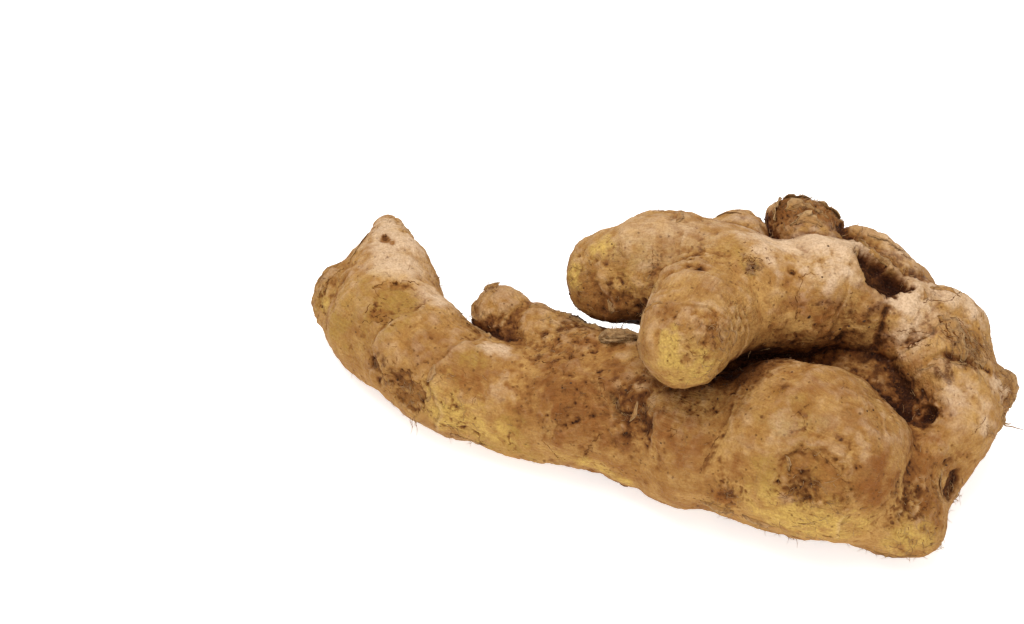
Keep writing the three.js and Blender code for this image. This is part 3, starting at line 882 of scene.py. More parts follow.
# %% Press in the cracks
# pixels along each crack, then its depth and width in mm, and how dark it is
# the dark lines scar_top and shaved_top are partly painted shadow under a raised rim
CRACKS = {
    "upper_crack": (
        [
            (790, 268), (796, 274), (802, 278), (799, 284), (800, 290), (796, 297), (798, 304),
            (795, 311), (796, 319),
        ],
        0.12, 0.5, 0.7,
    ),
    "thumb_seam": ([(657, 336), (657, 346), (660, 356), (666, 366)], 0.3, 0.9, 0.0),
    "upper_branch": ([(802, 278), (806, 274), (811, 273), (815, 275)], 0.12, 0.45, 0.6),
    "middle_crack": ([(602, 432), (594, 441), (588, 449), (584, 456)], 0.2, 0.5, 0.9),
    "shoulder_fold": ([(551, 361), (562, 359), (574, 358), (586, 354), (598, 349)], 0.5, 0.6, 0.7),
    "left_fold": ([(514, 357), (524, 367), (530, 384), (531, 400), (528, 416)], 0.15, 1.4, 0.0),
    "knuckle_crack": ([(800, 412), (803, 421), (806, 431)], 0.1, 0.45, 0.5),
    "sheath_edge": ([(732, 400), (727, 425), (719, 445), (709, 460), (701, 476)], 0.35, 0.6, 0.3),
    "arm_ridge": ([(597, 238), (611, 245), (622, 254), (623, 270), (618, 284)], 0.2, 0.45, 0.1),
    "tip_fold": ([(352, 262), (372, 270), (395, 277), (418, 278), (436, 282)], 0.2, 0.8, 0.1),
    "left_groove": ([(344, 268), (331, 277), (321, 289), (317, 304)], 0.5, 0.8, 0.35),
    "shaved_top": ([(374, 286), (388, 282), (404, 280), (419, 285)], 0.5, 0.45, 0.6),
    "scar_top": ([(786, 457), (800, 451), (815, 455), (830, 466), (838, 479)], 0.3, 0.5, 0.4),
    "plane_edge": ([(846, 455), (842, 470), (843, 488), (850, 503)], 0.25, 0.45, 0.3),
    "middle_fold": ([(594, 378), (602, 389), (612, 399), (620, 414), (622, 432)], 0.35, 0.9, 0.3),
    "bend_stroke": ([(938, 318), (944, 324), (952, 331)], 0.2, 0.5, 0.9),
    "bend_low": ([(946, 356), (960, 360), (974, 366), (988, 370)], 1.0, 1.0, 1),
    "upper_end": (
        [(870, 280), (880, 290), (885, 304), (884, 320), (880, 335), (876, 348)], 0.8, 1.2, 0.25,
    ),
    "bend_band": ([(884, 345), (898, 342), (914, 343), (930, 348)], 0.15, 0.6, 0.1),
}


LINE_WANDER = 0.8
FAR = 99.0
wander = np.stack([waviness(points, 2.6, 2, shift) for shift in (35.0, 36.0, 37.0)], 1)
wandering = points + LINE_WANDER * wander


def line_depth(pixels, width):
    """How near each point is to a wandering line on the skin, from 0 to 1."""
    knots = np.array([seen(px, py)[0] for px, py in pixels])
    nearest = np.full(len(points), FAR)
    for start, end in zip(knots, knots[1:]):
        along_line = ((wandering - start) @ (end - start) / ((end - start) ** 2).sum()).clip(0, 1)
        distance = np.linalg.norm(wandering - start - along_line[:, None] * (end - start), axis=1)
        nearest = np.minimum(nearest, distance)
    return np.exp(-(((nearest + 0.5 * np.abs(ragged_fine)) / width) ** 2))


crack = 0.7 * eye_lines
for pixels, depth, width, darkness in CRACKS.values():
    line = line_depth(pixels, width)
    relief = relief - depth * line
    crack = np.maximum(crack, line * darkness)
print("cracks:", len(CRACKS))

# %% Raise the ridges
# pixels along each pale ridge, then its height and width in mm
RIDGES = {
    "left_rim": ([(341, 262), (326, 271), (314, 283), (311, 297)], 0.4, 0.8),
    "shaved_rim": ([(372, 282), (388, 278), (405, 276), (421, 281)], 0.25, 0.8),
    "scar_rim": ([(784, 452), (800, 446), (816, 450), (832, 461), (843, 478)], 0.25, 0.8),
    "scar_flap": ([(785, 455), (787, 463), (785, 471)], 0.2, 0.6),
    "hollow_rim": ([(944, 468), (939, 480), (940, 494), (946, 504)], 0.4, 0.8),
    "plane_edge": ([(850, 452), (846, 470), (847, 488), (854, 503)], 0.2, 0.8),
    "sheath_edge": ([(736, 401), (731, 425), (723, 446), (713, 461), (705, 477)], 0.15, 0.8),
    "thumb_fold": ([(686, 351), (693, 357), (702, 355), (709, 347)], 0.3, 0.6),
    "arm_end": ([(585, 236), (576, 247), (571, 260), (571, 276)], 0.2, 0.8),
    "middle_ridge": ([(592, 376), (600, 388), (610, 399), (617, 414)], 0.15, 0.8),
    "trunk_edge": ([(470, 436), (500, 446), (530, 456), (560, 464)], 0.2, 0.7),
}
ridge = np.zeros(len(points))
for pixels, height, width in RIDGES.values():
    line = line_depth(pixels, width)
    relief = relief + height * line
    ridge = np.maximum(ridge, line)
print("ridges:", len(RIDGES))

# %% [markdown]
# ## Grow the relief
# The relief moves every point along its normal. The lowest spots stay flat on the floor, and the skin
# is not let through it.

# %% Move the points
RESTING_HEIGHT = 0.02
FLAT_BELOW, FREE_ABOVE = 0.2, 2.5
FLAT_RELIEF = 0.15

off_floor = smoothstep(points[:, 2], FLAT_BELOW, FREE_ABOVE)
points = points + normals * (relief * (FLAT_RELIEF + (1 - FLAT_RELIEF) * off_floor))[:, None]
points[:, 2] = np.maximum(points[:, 2], RESTING_HEIGHT)
write_points(skin, points)
make_active(skin)
bpy.ops.object.shade_smooth()
normals = read_normals(skin)
print("skin height, mm:", round(points[:, 2].max(), 1))

# %% [markdown]
# ## Where soil stays and shade falls
# Soil stays where a finger can't rub it off, and the same places are painted darker as shade. Rays
# are sent out from every point, and the share that soon hit the root again says how sheltered the
# point is.

# %% Measure the shelter
SHELTER_RAYS = 14
SHELTER_REACH = 11 * MM
RAY_LIFT = 0.25
FAR_HIT_LOSS = 0.6
GOLDEN_TURN = math.pi * (3 - math.sqrt(5))


def dome(count):
    """Directions spread evenly over a half-sphere round +Z."""
    heights = (np.arange(count) + 0.5) / count
    turns = np.arange(count) * GOLDEN_TURN
    flat = np.sqrt(1 - heights ** 2)
    return np.stack([flat * np.cos(turns), flat * np.sin(turns), heights], 1)


def shelter_of(piece, points, normals):
    """The share of rays from each point that hit the piece again. Near hits count for more."""
    tree = surface_of(piece)
    rays = [Vector(ray) for ray in dome(SHELTER_RAYS)]
    shelter = np.zeros(len(points))
    for index, (point, normal) in enumerate(zip(points, normals)):
        up = Vector(normal)
        start = Vector(point) * MM + up * RAY_LIFT * MM
        turn = up.to_track_quat("Z", "Y")
        hits = 0.0
        for ray in rays:
            distance = tree.ray_cast(start, turn @ ray, SHELTER_REACH)[3]
            if distance is not None:
                hits += 1 - FAR_HIT_LOSS * distance / SHELTER_REACH
        shelter[index] = hits / SHELTER_RAYS
    return shelter


# patches that handling has rubbed clean, though they are sheltered: they get less soil and less
# painted shade
RUBBED_LESS_SHADED = {
    "knuckle_left": (692, 404, 8.0, 1.8, 0, 0.6, 1.2),
    "thumb_middle": (700, 342, 7.0, 1.2, 0, 0.6, 1.4),
    "upper_low": (840, 322, 6.0, 2.2, -5, 0.6, 1.4),
}
RUBBED_LESS_SOIL_AND_SHADE = 0.6
shelter = shelter_of(skin, points, normals) * (1 - RUBBED_LESS_SOIL_AND_SHADE * patches(RUBBED_LESS_SHADED))
print("most sheltered:", round(shelter.max(), 2))

# %% [markdown]
# Soil also stays in small dents, and the dents are painted darker as shade with it. How far a point
# lies below the middle of its neighbours says whether it is in a dent or on a bump. Averaged over a
# few rounds, it finds dents of a few millimetres.

# %% Measure the dents
DENT_ROUNDS = (4, 32)


def dents(rounds):
    """Millimetres by which each point lies below its surroundings."""
    blurred = points
    for _ in range(rounds):
        blurred = 0.5 * blurred + 0.5 * neighbour_mean(blurred)
    return ((blurred - points) * normals).sum(1)


fine_dent, broad_dent = (dents(rounds) for rounds in DENT_ROUNDS)
print("dents, mm:", round(float(fine_dent.max()), 2), round(float(broad_dent.max()), 2))

# %% [markdown]
# ## Hand the fields to the skin
# The formulas' results are stored on the mesh as attributes. The material reads them by name, so the
# dirt, the rings and the bruises stay on the skin from every side.

# %% Store the fields as attributes


def store(piece, name, values):
    """One number, or three, for each point of the piece."""
    values = np.asarray(values, np.float32)
    kind, part = ("FLOAT", "value") if values.ndim == 1 else ("FLOAT_VECTOR", "vector")
    attribute = piece.data.attributes.new(name, kind, "POINT")
    attribute.data.foreach_set(part, values.ravel())


FORK_LINE_WIDTH = 1.5

fork_line = (1 - soft) ** 3 * np.exp(-((crease / FORK_LINE_WIDTH) ** 2))
FIELDS = {
    "ring": ring, "ring_strength": ring_strength, "fork_line": fork_line, "off_fork": off_fork,
    "crack": crack, "ridge": ridge, "shelter": shelter, "fine_dent": fine_dent,
    "broad_dent": broad_dent, "upness": normals[:, 2], "olive": olive, "yellow": yellow,
    "red": red, "brown": brown, "pale": pale, "dark": dark, "scar": scar_floor,
    "scar_rim": scar_rim, "rough": rough, "sleeve": sleeve,
}
for field_name, field in FIELDS.items():
    store(skin, field_name, field)
print("attributes:", ", ".join(FIELDS))

# %% [markdown]
# The even squares are finer than the smooth stretches of skin need. Decimate joins them there and
# keeps them where the relief is sharp. It mixes the attributes of the points that it joins.

# %% Thin out the smooth stretches
SKIN_TRIANGLES = 196_000

apply_modifier(skin, "DECIMATE", ratio=SKIN_TRIANGLES / (2 * len(skin.data.polygons)))
bpy.ops.object.shade_smooth()
print("skin triangles:", sum(len(face.vertices) - 2 for face in skin.data.polygons))

# %% [markdown]
# ## Shared surface effects
# Mottling, specks and fibres turn up in the skin, in the dry scales and in the soil, so each is a node
# group that is built once. A group takes a position and a size in millimetres and gives a mask.

# %% Helpers for node trees


def plug(tree, value, socket):
    """Links another node's output to the socket, or sets it to a number or a colour."""
    if isinstance(value, bpy.types.NodeSocket):
        tree.links.new(value, socket)
    else:
        socket.default_value = value


def plug_named(tree, made, sockets):
    """Plugs the values in by the names of the inputs, in which a blank is written as _."""
    for socket_name, value in sockets.items():
        plug(tree, value, made.inputs[socket_name.replace("_", " ")])


def add_node(tree, kind, settings=None, **sockets):
    """A node with these settings and these values in its sockets."""
    made = tree.nodes.new(kind)
    for setting, value in (settings or {}).items():
        setattr(made, setting, value)
    plug_named(tree, made, sockets)
    return made


def calculate(tree, operation, first, second=0.0, third=0.0, clamp=False):
    made = add_node(tree, "ShaderNodeMath", {"operation": operation, "use_clamp": clamp})
    for socket, value in zip(made.inputs, (first, second, third)):
        plug(tree, value, socket)
    return made.outputs[0]


def remap(tree, value, low, high, to_low=0.0, to_high=1.0):
    """A smooth step from one range to another."""
    made = add_node(
        tree, "ShaderNodeMapRange", {"interpolation_type": "SMOOTHSTEP"},
        Value=value, From_Min=low, From_Max=high, To_Min=to_low, To_Max=to_high,
    )
    return made.outputs["Result"]


def blend(tree, mask, under, over, kind="MIX"):
    """One colour over another where the mask is 1."""
    made = add_node(tree, "ShaderNodeMix", {"data_type": "RGBA", "blend_type": kind})
    sockets = {socket.identifier: socket for socket in made.inputs}
    for identifier, value in (("Factor_Float", mask), ("A_Color", under), ("B_Color", over)):
        plug(tree, value, sockets[identifier])
    return next(socket for socket in made.outputs if socket.identifier == "Result_Color")


def field_value(tree, name, output="Fac"):
    """A stored field. A field of one number is read from Fac, one of three from Vector."""
    return add_node(tree, "ShaderNodeAttribute", {"attribute_name": name}).outputs[output]


def new_group(name, **inputs):
    """An empty node group that takes a position and these numbers, its inlet and its outlet."""
    group = bpy.data.node_groups.new(name, "ShaderNodeTree")
    group.interface.new_socket("Position", in_out="INPUT", socket_type="NodeSocketVector")
    for socket_name, default in inputs.items():
        socket = group.interface.new_socket(socket_name, in_out="INPUT", socket_type="NodeSocketFloat")
        socket.default_value = default
    group.interface.new_socket("Mask", in_out="OUTPUT", socket_type="NodeSocketFloat")
    return group, group.nodes.new("NodeGroupInput").outputs, group.nodes.new("NodeGroupOutput").inputs


def use_group(tree, group, **sockets):
    made = add_node(tree, "ShaderNodeGroup", {"node_tree": group})
    plug_named(tree, made, sockets)
    return made.outputs[0]


print("node helpers ready")

# %% Build the mottle, speck and fibre groups


def mottle_group():
    """Cloudy patches of a size in millimetres. Edge is how crisp they are, from 0 to 1."""
    group, inlet, outlet = new_group("mottle", Size=5.0, Cover=0.5, Edge=0.3)
    scale = calculate(group, "DIVIDE", 1 / MM, inlet["Size"])
    cloud = add_node(
        group, "ShaderNodeTexNoise", Vector=inlet["Position"], Scale=scale, Detail=4.0, Roughness=0.58,
        Distortion=0.35,
    ).outputs["Fac"]
    middle = calculate(group, "SUBTRACT", 0.75, calculate(group, "MULTIPLY", inlet["Cover"], 0.5))
    half = calculate(group, "MULTIPLY", calculate(group, "SUBTRACT", 1.02, inlet["Edge"]), 0.2)
    mask = remap(
        group, cloud, calculate(group, "SUBTRACT", middle, half), calculate(group, "ADD", middle, half)
    )
    group.links.new(mask, outlet["Mask"])
    return group


def speck_group():
    """Scattered round specks. Amount is the share of cells that hold one."""
    group, inlet, outlet = new_group("specks", Spacing=2.0, Amount=0.3, Girth=0.2)
    scale = calculate(group, "DIVIDE", 1 / MM, inlet["Spacing"])
    finer = calculate(group, "MULTIPLY", scale, 2.2)
    wobble = add_node(
        group, "ShaderNodeTexNoise", Vector=inlet["Position"], Scale=finer, Detail=2.0
    ).outputs["Fac"]
    cells = add_node(group, "ShaderNodeTexVoronoi", Vector=inlet["Position"], Scale=scale)
    chance = add_node(group, "ShaderNodeSeparateColor", Color=cells.outputs["Color"]).outputs["Red"]
    chosen = calculate(group, "LESS_THAN", chance, inlet["Amount"])
    uneven = calculate(group, "MULTIPLY_ADD", wobble, 0.3, -0.15)
    distance = calculate(group, "ADD", cells.outputs["Distance"], uneven)
    half_girth = calculate(group, "MULTIPLY", inlet["Girth"], 0.5)
    dot = remap(group, distance, half_girth, inlet["Girth"], 1.0, 0.0)
    group.links.new(calculate(group, "MULTIPLY", dot, chosen), outlet["Mask"])
    return group


def fibre_group():
    """Fine lines along the first axis of the position, which is in millimetres."""
    group, inlet, outlet = new_group("fibres", Width=0.5, Length=8.0)
    across_scale = calculate(group, "DIVIDE", 1.0, inlet["Width"])
    along_scale = calculate(group, "DIVIDE", 1.0, inlet["Length"])
    scales = add_node(
        group, "ShaderNodeCombineXYZ", X=along_scale, Y=across_scale, Z=across_scale
    ).outputs["Vector"]
    stretched = add_node(group, "ShaderNodeVectorMath", {"operation": "MULTIPLY"})
    plug(group, inlet["Position"], stretched.inputs[0])
    plug(group, scales, stretched.inputs[1])
    lines = add_node(
        group, "ShaderNodeTexNoise", Vector=stretched.outputs["Vector"], Scale=1.0, Detail=3.0,
        Roughness=0.6, Distortion=0.6,
    ).outputs["Fac"]
    group.links.new(remap(group, lines, 0.35, 0.65), outlet["Mask"])
    return group


mottle, specks, fibres = mottle_group(), speck_group(), fibre_group()
print("groups:", mottle.name, specks.name, fibres.name)

# %% [markdown]
# ## The colour of ginger skin
# The skin is painted as it aged: tan flesh under a thin skin, browner in patches, then dust and a
# painted highlight on the tops, bruises, stains that are partly painted shade, the dark lines of the
# rings, and last the soil and more painted shade in the creases. Each layer is one blend of a colour
# through a mask.

# %% Name the colours
TAN = (0.41, 0.207, 0.054, 1)
LIGHT_TAN = (0.53, 0.31, 0.100, 1)
BROWN = (0.225, 0.086, 0.020, 1)
UMBER = (0.084, 0.025, 0.006, 1)
DUST_AND_HIGHLIGHT = (0.71, 0.50, 0.315, 1)
OLIVE = (0.37, 0.215, 0.046, 1)
YELLOW = (0.60, 0.385, 0.095, 1)
RED_BROWN = (0.235, 0.080, 0.016, 1)
ORANGE_BROWN = (0.36, 0.165, 0.036, 1)
SOIL_AND_DEEP_SHADE = (0.030, 0.010, 0.003, 1)
SHADE = (0.42, 0.27, 0.18, 1)
SPECK = (0.115, 0.042, 0.012, 1)
print("flesh:", TAN[:3], "soil:", SOIL_AND_DEEP_SHADE[:3])

# %% Helpers for the layers of paint


def principled(name, roughness=0.8, specular=0.3):
    """A new material, its tree and its shader."""
    material = bpy.data.materials.new(name)
    material.use_nodes = True
    shader = material.node_tree.nodes["Principled BSDF"]
    shader.inputs["Roughness"].default_value = roughness
    shader.inputs["Specular IOR Level"].default_value = specular
    return material, material.node_tree, shader


def set_surface(tree, shader, colour, height, distance, strength):
    """Gives the shader its colour, and its bump of a height in millimetres."""
    tree.links.new(colour, shader.inputs["Base Color"])
    bump = add_node(tree, "ShaderNodeBump", Height=height, Distance=distance * MM, Strength=strength)
    tree.links.new(bump.outputs["Normal"], shader.inputs["Normal"])


def place_in(tree):
    """The position on the object, from one node that the whole tree shares."""
    place = tree.nodes.get("place") or add_node(tree, "ShaderNodeTexCoord", {"name": "place"})
    return place.outputs["Object"]


def cloud(tree, size, cover=0.5, edge=0.3):
    """Cloudy patches of a size in millimetres."""
    return use_group(tree, mottle, Position=place_in(tree), Size=size, Cover=cover, Edge=edge)


def grains(tree, size, detail):
    """Plain noise of a size in millimetres."""
    return add_node(
        tree, "ShaderNodeTexNoise", Vector=place_in(tree), Scale=1 / (size * MM), Detail=detail
    ).outputs["Fac"]


def both(tree, first, second):
    """High only where both masks are."""
    return calculate(tree, "MULTIPLY", first, second, clamp=True)


def sum_of(tree, first, share, second):
    """A share of the first value on top of the second."""
    return calculate(tree, "MULTIPLY_ADD", first, share, second)


def clouded(tree, mask, clouds, thin, thick):
    """The mask, weakened by clouds: times thin between them and times thick inside them."""
    return both(tree, mask, remap(tree, clouds, 0, 1, thin, thick))


def band(tree, value, start, peak, end):
    """1 where the value is at the peak, falling to 0 at start and end."""
    rise = remap(tree, value, start, peak)
    fall = remap(tree, value, peak, end, 1.0, 0.0)
    return calculate(tree, "MULTIPLY", rise, fall)


print("paint helpers ready")

# %% [markdown]
# The flesh shows through a thin skin, mottled in clouds of three sizes. Dust dries on the bumps that
# face up, and they are painted paler there as a highlight. Over that come the stains, each in the
# clouds of its own size.

# %% Paint the flesh, the dust and the stains
# size in mm, cover, edge, share, colour
MOTTLES = ((14, 0.5, 0.2, 0.6, BROWN), (6, 0.5, 0.4, 0.6, LIGHT_TAN), (2.6, 0.4, 0.6, 0.35, BROWN))
# field, size of the clouds in mm, their cover, the stain between them and inside them, colour
STAINS = (
    ("red", 4, 0.65, 0.45, 1.0, RED_BROWN),
    ("olive", 2.4, 0.6, 0.4, 0.9, OLIVE),
    ("yellow", 3, 0.65, 0.35, 0.95, YELLOW),
)


def flesh_dust_and_highlight(tree):
    colour = TAN
    for size, cover, edge, share, paint in MOTTLES:
        colour = blend(tree, both(tree, cloud(tree, size, cover, edge), share), colour, paint)
    # painted highlight: bumps that face up are paler, with the pale dust
    proud = remap(tree, field_value(tree, "broad_dent"), -0.35, 0.0, 0.35, 0.0)
    facing_up = remap(tree, field_value(tree, "upness"), 0.2, 0.8)
    dust_and_bump_highlight = sum_of(tree, field_value(tree, "pale"), 0.9, both(tree, proud, facing_up))
    return blend(tree, clouded(tree, dust_and_bump_highlight, cloud(tree, 4.5, 0.7, 0.2), 0.55, 1.0), colour, DUST_AND_HIGHLIGHT)


def with_stains(tree, colour):
    # brown and red patches, partly painted shade on the undersides and in the hollows
    colour = blend(tree, both(tree, field_value(tree, "brown"), 0.82), colour, BROWN)
    for field_name, size, cover, thin, thick, paint in STAINS:
        stain = clouded(tree, field_value(tree, field_name), cloud(tree, size, cover), thin, thick)
        colour = blend(tree, stain, colour, paint)
    return colour


print("stains:", [stain[0] for stain in STAINS])

# %% [markdown]
# Dark and pale fibres run along the lobes, away from the forks. Each ring has a pale worn edge, and a
# dark line behind it where the sheath came off.

# %% Paint the fibres and the rings
PALE_FIBRE_SHIFT = 40.0


def with_fibres(tree, colour):
    """The colour with fibres over it, and the mask of the dark ones."""
    along_lobe = field_value(tree, "sleeve", "Vector")
    elsewhere = add_node(tree, "ShaderNodeVectorMath", {"operation": "ADD"})
    plug(tree, along_lobe, elsewhere.inputs[0])
    plug(tree, (PALE_FIBRE_SHIFT,) * 3, elsewhere.inputs[1])
    clear = field_value(tree, "off_fork")
    dark_fibre = use_group(tree, fibres, Position=along_lobe, Width=0.7, Length=6.0)
    dark_fibre = both(tree, dark_fibre, clear)
    pale_fibre = use_group(tree, fibres, Position=elsewhere.outputs["Vector"], Width=0.5, Length=5.0)
    pale_fibre = both(tree, both(tree, pale_fibre, clear), cloud(tree, 5))
    colour = blend(tree, both(tree, dark_fibre, 0.25), colour, BROWN)
    return blend(tree, both(tree, pale_fibre, 0.25), colour, LIGHT_TAN), dark_fibre


def with_rings(tree, colour):
    """The colour with the rings over it, and the mask of their dark lines."""
    past_ring, strength = field_value(tree, "ring"), field_value(tree, "ring_strength")
    edge = both(tree, band(tree, past_ring, -1.4, -0.3, 0.1), strength)
    colour = blend(tree, clouded(tree, edge, cloud(tree, 3, 0.6), 0.0, 0.2), colour, DUST_AND_HIGHLIGHT)
    line = both(tree, band(tree, past_ring, -0.4, 0.2, 1.1), strength)
    line_mask = clouded(tree, line, cloud(tree, 2.5, 0.45), 0.02, 0.4)
    return blend(tree, line_mask, colour, UMBER), line


print("fibres and rings ready")

# %% [markdown]
# Dirt gathers where the root is sheltered, brown, dented or rough, and the same places are painted
# darker as shade. It starts as specks of two sizes and ends as soil and painted shade, which fill the
# dents, the forks and the cracks.

# %% Paint the specks, the soil and the painted shade
# where the soil and painted shade start and are full, share, colour
SOIL_AND_SHADE_LAYERS = ((0.2, 0.8, 0.85, BROWN), (0.6, 1.15, 0.85, UMBER), (0.9, 1.3, 0.9, SOIL_AND_DEEP_SHADE))


def dirt_and_shade_amount(tree):
    # how much soil and painted shade each place gets: sheltered, brown, dented and rough places get
    # more
    dirt_and_shade = sum_of(tree, field_value(tree, "brown"), 0.35, field_value(tree, "shelter"))
    dirt_and_shade = sum_of(tree, field_value(tree, "broad_dent"), 0.9, dirt_and_shade)
    return sum_of(tree, field_value(tree, "rough"), 0.18, dirt_and_shade)


def with_specks(tree, colour, dirt_and_shade):
    """The colour with specks over it, and the mask of the small ones."""
    position = place_in(tree)
    many = remap(tree, sum_of(tree, cloud(tree, 7, 0.5, 0.4), 0.15, dirt_and_shade), 0.0, 0.75, 0.04, 0.85)
    few = both(tree, many, 0.5)
    small = use_group(tree, specks, Position=position, Spacing=1.05, Amount=many, Girth=0.38)
    large = use_group(tree, specks, Position=position, Spacing=2.8, Amount=few, Girth=0.24)
    colour = blend(tree, both(tree, small, 0.65), colour, SPECK)
    return blend(tree, both(tree, large, 0.75), colour, UMBER), small


def with_soil_and_shade(tree, colour, dirt_and_shade, crumbly):
    # soil and painted shade: one mask darkens the sheltered places, the dents and the forks
    held = sum_of(tree, field_value(tree, "rough"), -0.9, 1.9)
    soil_and_shade = sum_of(tree, field_value(tree, "fine_dent"), held, dirt_and_shade)
    soil_and_shade = sum_of(tree, crumbly, 0.22, soil_and_shade)
    for start, full, share, paint in SOIL_AND_SHADE_LAYERS:
        colour = blend(tree, remap(tree, soil_and_shade, start, full, 0.0, share), colour, paint)
    lines = calculate(tree, "MAXIMUM", field_value(tree, "fork_line"), field_value(tree, "crack"))
    return blend(tree, clouded(tree, lines, crumbly, 0.15, 0.55), colour, UMBER)


print("layers of soil:", len(SOIL_AND_SHADE_LAYERS))

# %% [markdown]
# A scar shows dried flesh with a brown rim, partly a painted shadow under its edge, and torn roots are
# dark wood, painted black as shade where they are deep and sheltered. Ridges are rubbed pale, and the
# dusty tops that face up are painted paler still as a highlight, except in the scars.

# %% Paint the scars, the worn ridges and the highlights


def with_scars(tree, colour, crumbly):
    dried = blend(tree, cloud(tree, 3.0, 0.5, 0.1), ORANGE_BROWN, RED_BROWN)
    dried = blend(tree, both(tree, cloud(tree, 1.2, 0.4), 0.35), dried, UMBER)
    colour = blend(tree, both(tree, field_value(tree, "scar"), 0.4), colour, dried)
    # brown rim of the scars and pit collars, partly a painted shadow under the raised edge
    rim = clouded(tree, field_value(tree, "scar_rim"), crumbly, 0.05, 0.45)
    colour = blend(tree, rim, colour, BROWN)
    # dark wood of the stumps, and painted shade in the crevices and hollows among the dark patches
    wood_and_shade = field_value(tree, "dark")
    colour = blend(tree, clouded(tree, wood_and_shade, cloud(tree, 0.8, 0.55), 0.45, 0.95), colour, UMBER)
    # painted shade: the dark patches go black where they are sheltered
    deep_shade = both(tree, wood_and_shade, remap(tree, field_value(tree, "shelter"), 0.2, 0.5))
    return blend(tree, both(tree, deep_shade, 0.85), colour, SOIL_AND_DEEP_SHADE)


def with_worn_ridges_and_highlight(tree, colour, crumbly):
    worn = clouded(tree, field_value(tree, "ridge"), crumbly, 0.5, 0.15)
    colour = blend(tree, worn, colour, LIGHT_TAN)
    # painted highlight: the pale patches are paler still where they face up
    facing_up = remap(tree, field_value(tree, "upness"), 0.3, 0.85)
    dust_and_top_highlight = both(tree, field_value(tree, "pale"), facing_up)
    dust_and_top_highlight = both(tree, dust_and_top_highlight, remap(tree, field_value(tree, "scar"), 0.0, 0.5, 1.0, 0.0))
    return blend(tree, both(tree, dust_and_top_highlight, 0.45), colour, DUST_AND_HIGHLIGHT)


print("scars and ridges ready")

# %% [markdown]
# The layers go on in this order. The grain of the skin and the painted shade in sheltered places come
# last. The bump adds up the same grain, fibres, rings and specks, so dirt and relief agree.

# %% Mix the skin material


def skin_material():
    material, tree, shader = principled("ginger_skin", 0.8, 0.12)
    dirt_and_shade, crumbly, grain = dirt_and_shade_amount(tree), cloud(tree, 1.3, 0.5, 0.4), grains(tree, 0.55, 5.0)
    colour = with_stains(tree, flesh_dust_and_highlight(tree))
    colour, fibre = with_fibres(tree, colour)
    colour, line = with_rings(tree, colour)
    colour, small_specks = with_specks(tree, colour, dirt_and_shade)
    colour = with_soil_and_shade(tree, colour, dirt_and_shade, crumbly)
    colour = with_scars(tree, colour, crumbly)
    colour = with_worn_ridges_and_highlight(tree, colour, crumbly)
    colour = blend(tree, remap(tree, grain, 0.35, 0.6, 0.3, 0.0), colour, BROWN)
    # painted shade: sheltered places are multiplied darker
    painted_shade = remap(tree, field_value(tree, "shelter"), 0.1, 0.55)
    colour = blend(tree, painted_shade, colour, SHADE, "MULTIPLY")

    fine = grains(tree, 0.9, 5.0)
    height = sum_of(tree, grains(tree, 2.6, 3.0), 1.2, fine)
    height = sum_of(tree, grain, sum_of(tree, field_value(tree, "rough"), 0.6, 0.25), height)
    for mask, share in ((fibre, 0.22), (line, -0.3), (small_specks, -0.3)):
        height = sum_of(tree, mask, share, height)
    set_surface(tree, shader, colour, height, 0.6, 0.9)
    tree.links.new(remap(tree, fine, 0.3, 0.7, 0.62, 0.9), shader.inputs["Roughness"])
    return material


skin.data.materials.append(skin_material())
print("skin material nodes:", len(skin.data.materials[0].node_tree.nodes))

# %% [markdown]
# ## What clings to the root
# Up close a fresh rhizome isn't clean: dry skin curls up along the old leaf scars, fibres of dead
# roots stick out, and crumbs of soil sit in the folds. They are small, but they break the smooth
# outline and catch the light. All of them are laid onto the skin, so first the skin is searched anew.

# %% Helpers to lay things onto the skin
surface = surface_of(skin)
chance = random.Random(7)


def on_skin(place):
    """The nearest point of the skin to a place, in millimetres, and its normal."""
    spot, normal, _, _ = surface.find_nearest(Vector(place) * MM)
    return np.array(spot) / MM, np.array(normal)


def unit(vector):
    return vector / max(np.linalg.norm(vector), 1e-9)


def spaced(knots, step):
    """Places at even steps along a line through the knots."""
    knots = np.array(knots)
    lengths = np.concatenate([[0], np.cumsum(np.linalg.norm(np.diff(knots, axis=0), axis=1))])
    at = np.linspace(0, lengths[-1], max(5, round(lengths[-1] / step)))
    return np.stack([np.interp(at, lengths, knots[:, axis]) for axis in range(3)], 1)


def places_at(line, steps):
    """Where a line is after so many of its steps, which may be fractions."""
    return np.stack([np.interp(steps, np.arange(len(line)), line[:, axis]) for axis in range(3)], -1)


def copy_of(model):
    """A copy of the model with a mesh of its own."""
    copy = model.copy()
    copy.data = model.data.copy()
    bpy.context.collection.objects.link(copy)
    return copy


def join(pieces, name):
    """All the pieces as one object of this name."""
    bpy.ops.object.select_all(action="DESELECT")
    for piece in pieces:
        piece.select_set(True)
    bpy.context.view_layer.objects.active = pieces[0]
    bpy.ops.object.join()
    bpy.ops.object.shade_smooth()
    pieces[0].name = name
    return pieces[0]


print("skin sample, mm:", [round(part, 1) for part in on_skin((0, 0, 40))[0]])

# %% [markdown]
# ## Dry skin that curls up
# A leaf sheath was wrapped round the finger. When it dried, it tore along its edge, and what is left
# is a thin ragged strip that still holds on at one side. A flat grid is the start. Its first row is
# laid along a line on the skin, and each next row reaches further out and stands off a little more.
# The shape follows the root, so it is given by a formula and not by hand. Solidify makes it a sheet.

# %% Make the strips of dry skin
STRIP_STEP, STRIP_ROWS = 0.7, 5
SHEET = 0.13 * MM
SLOW_WAVE, TOOTH = 5, 1.1

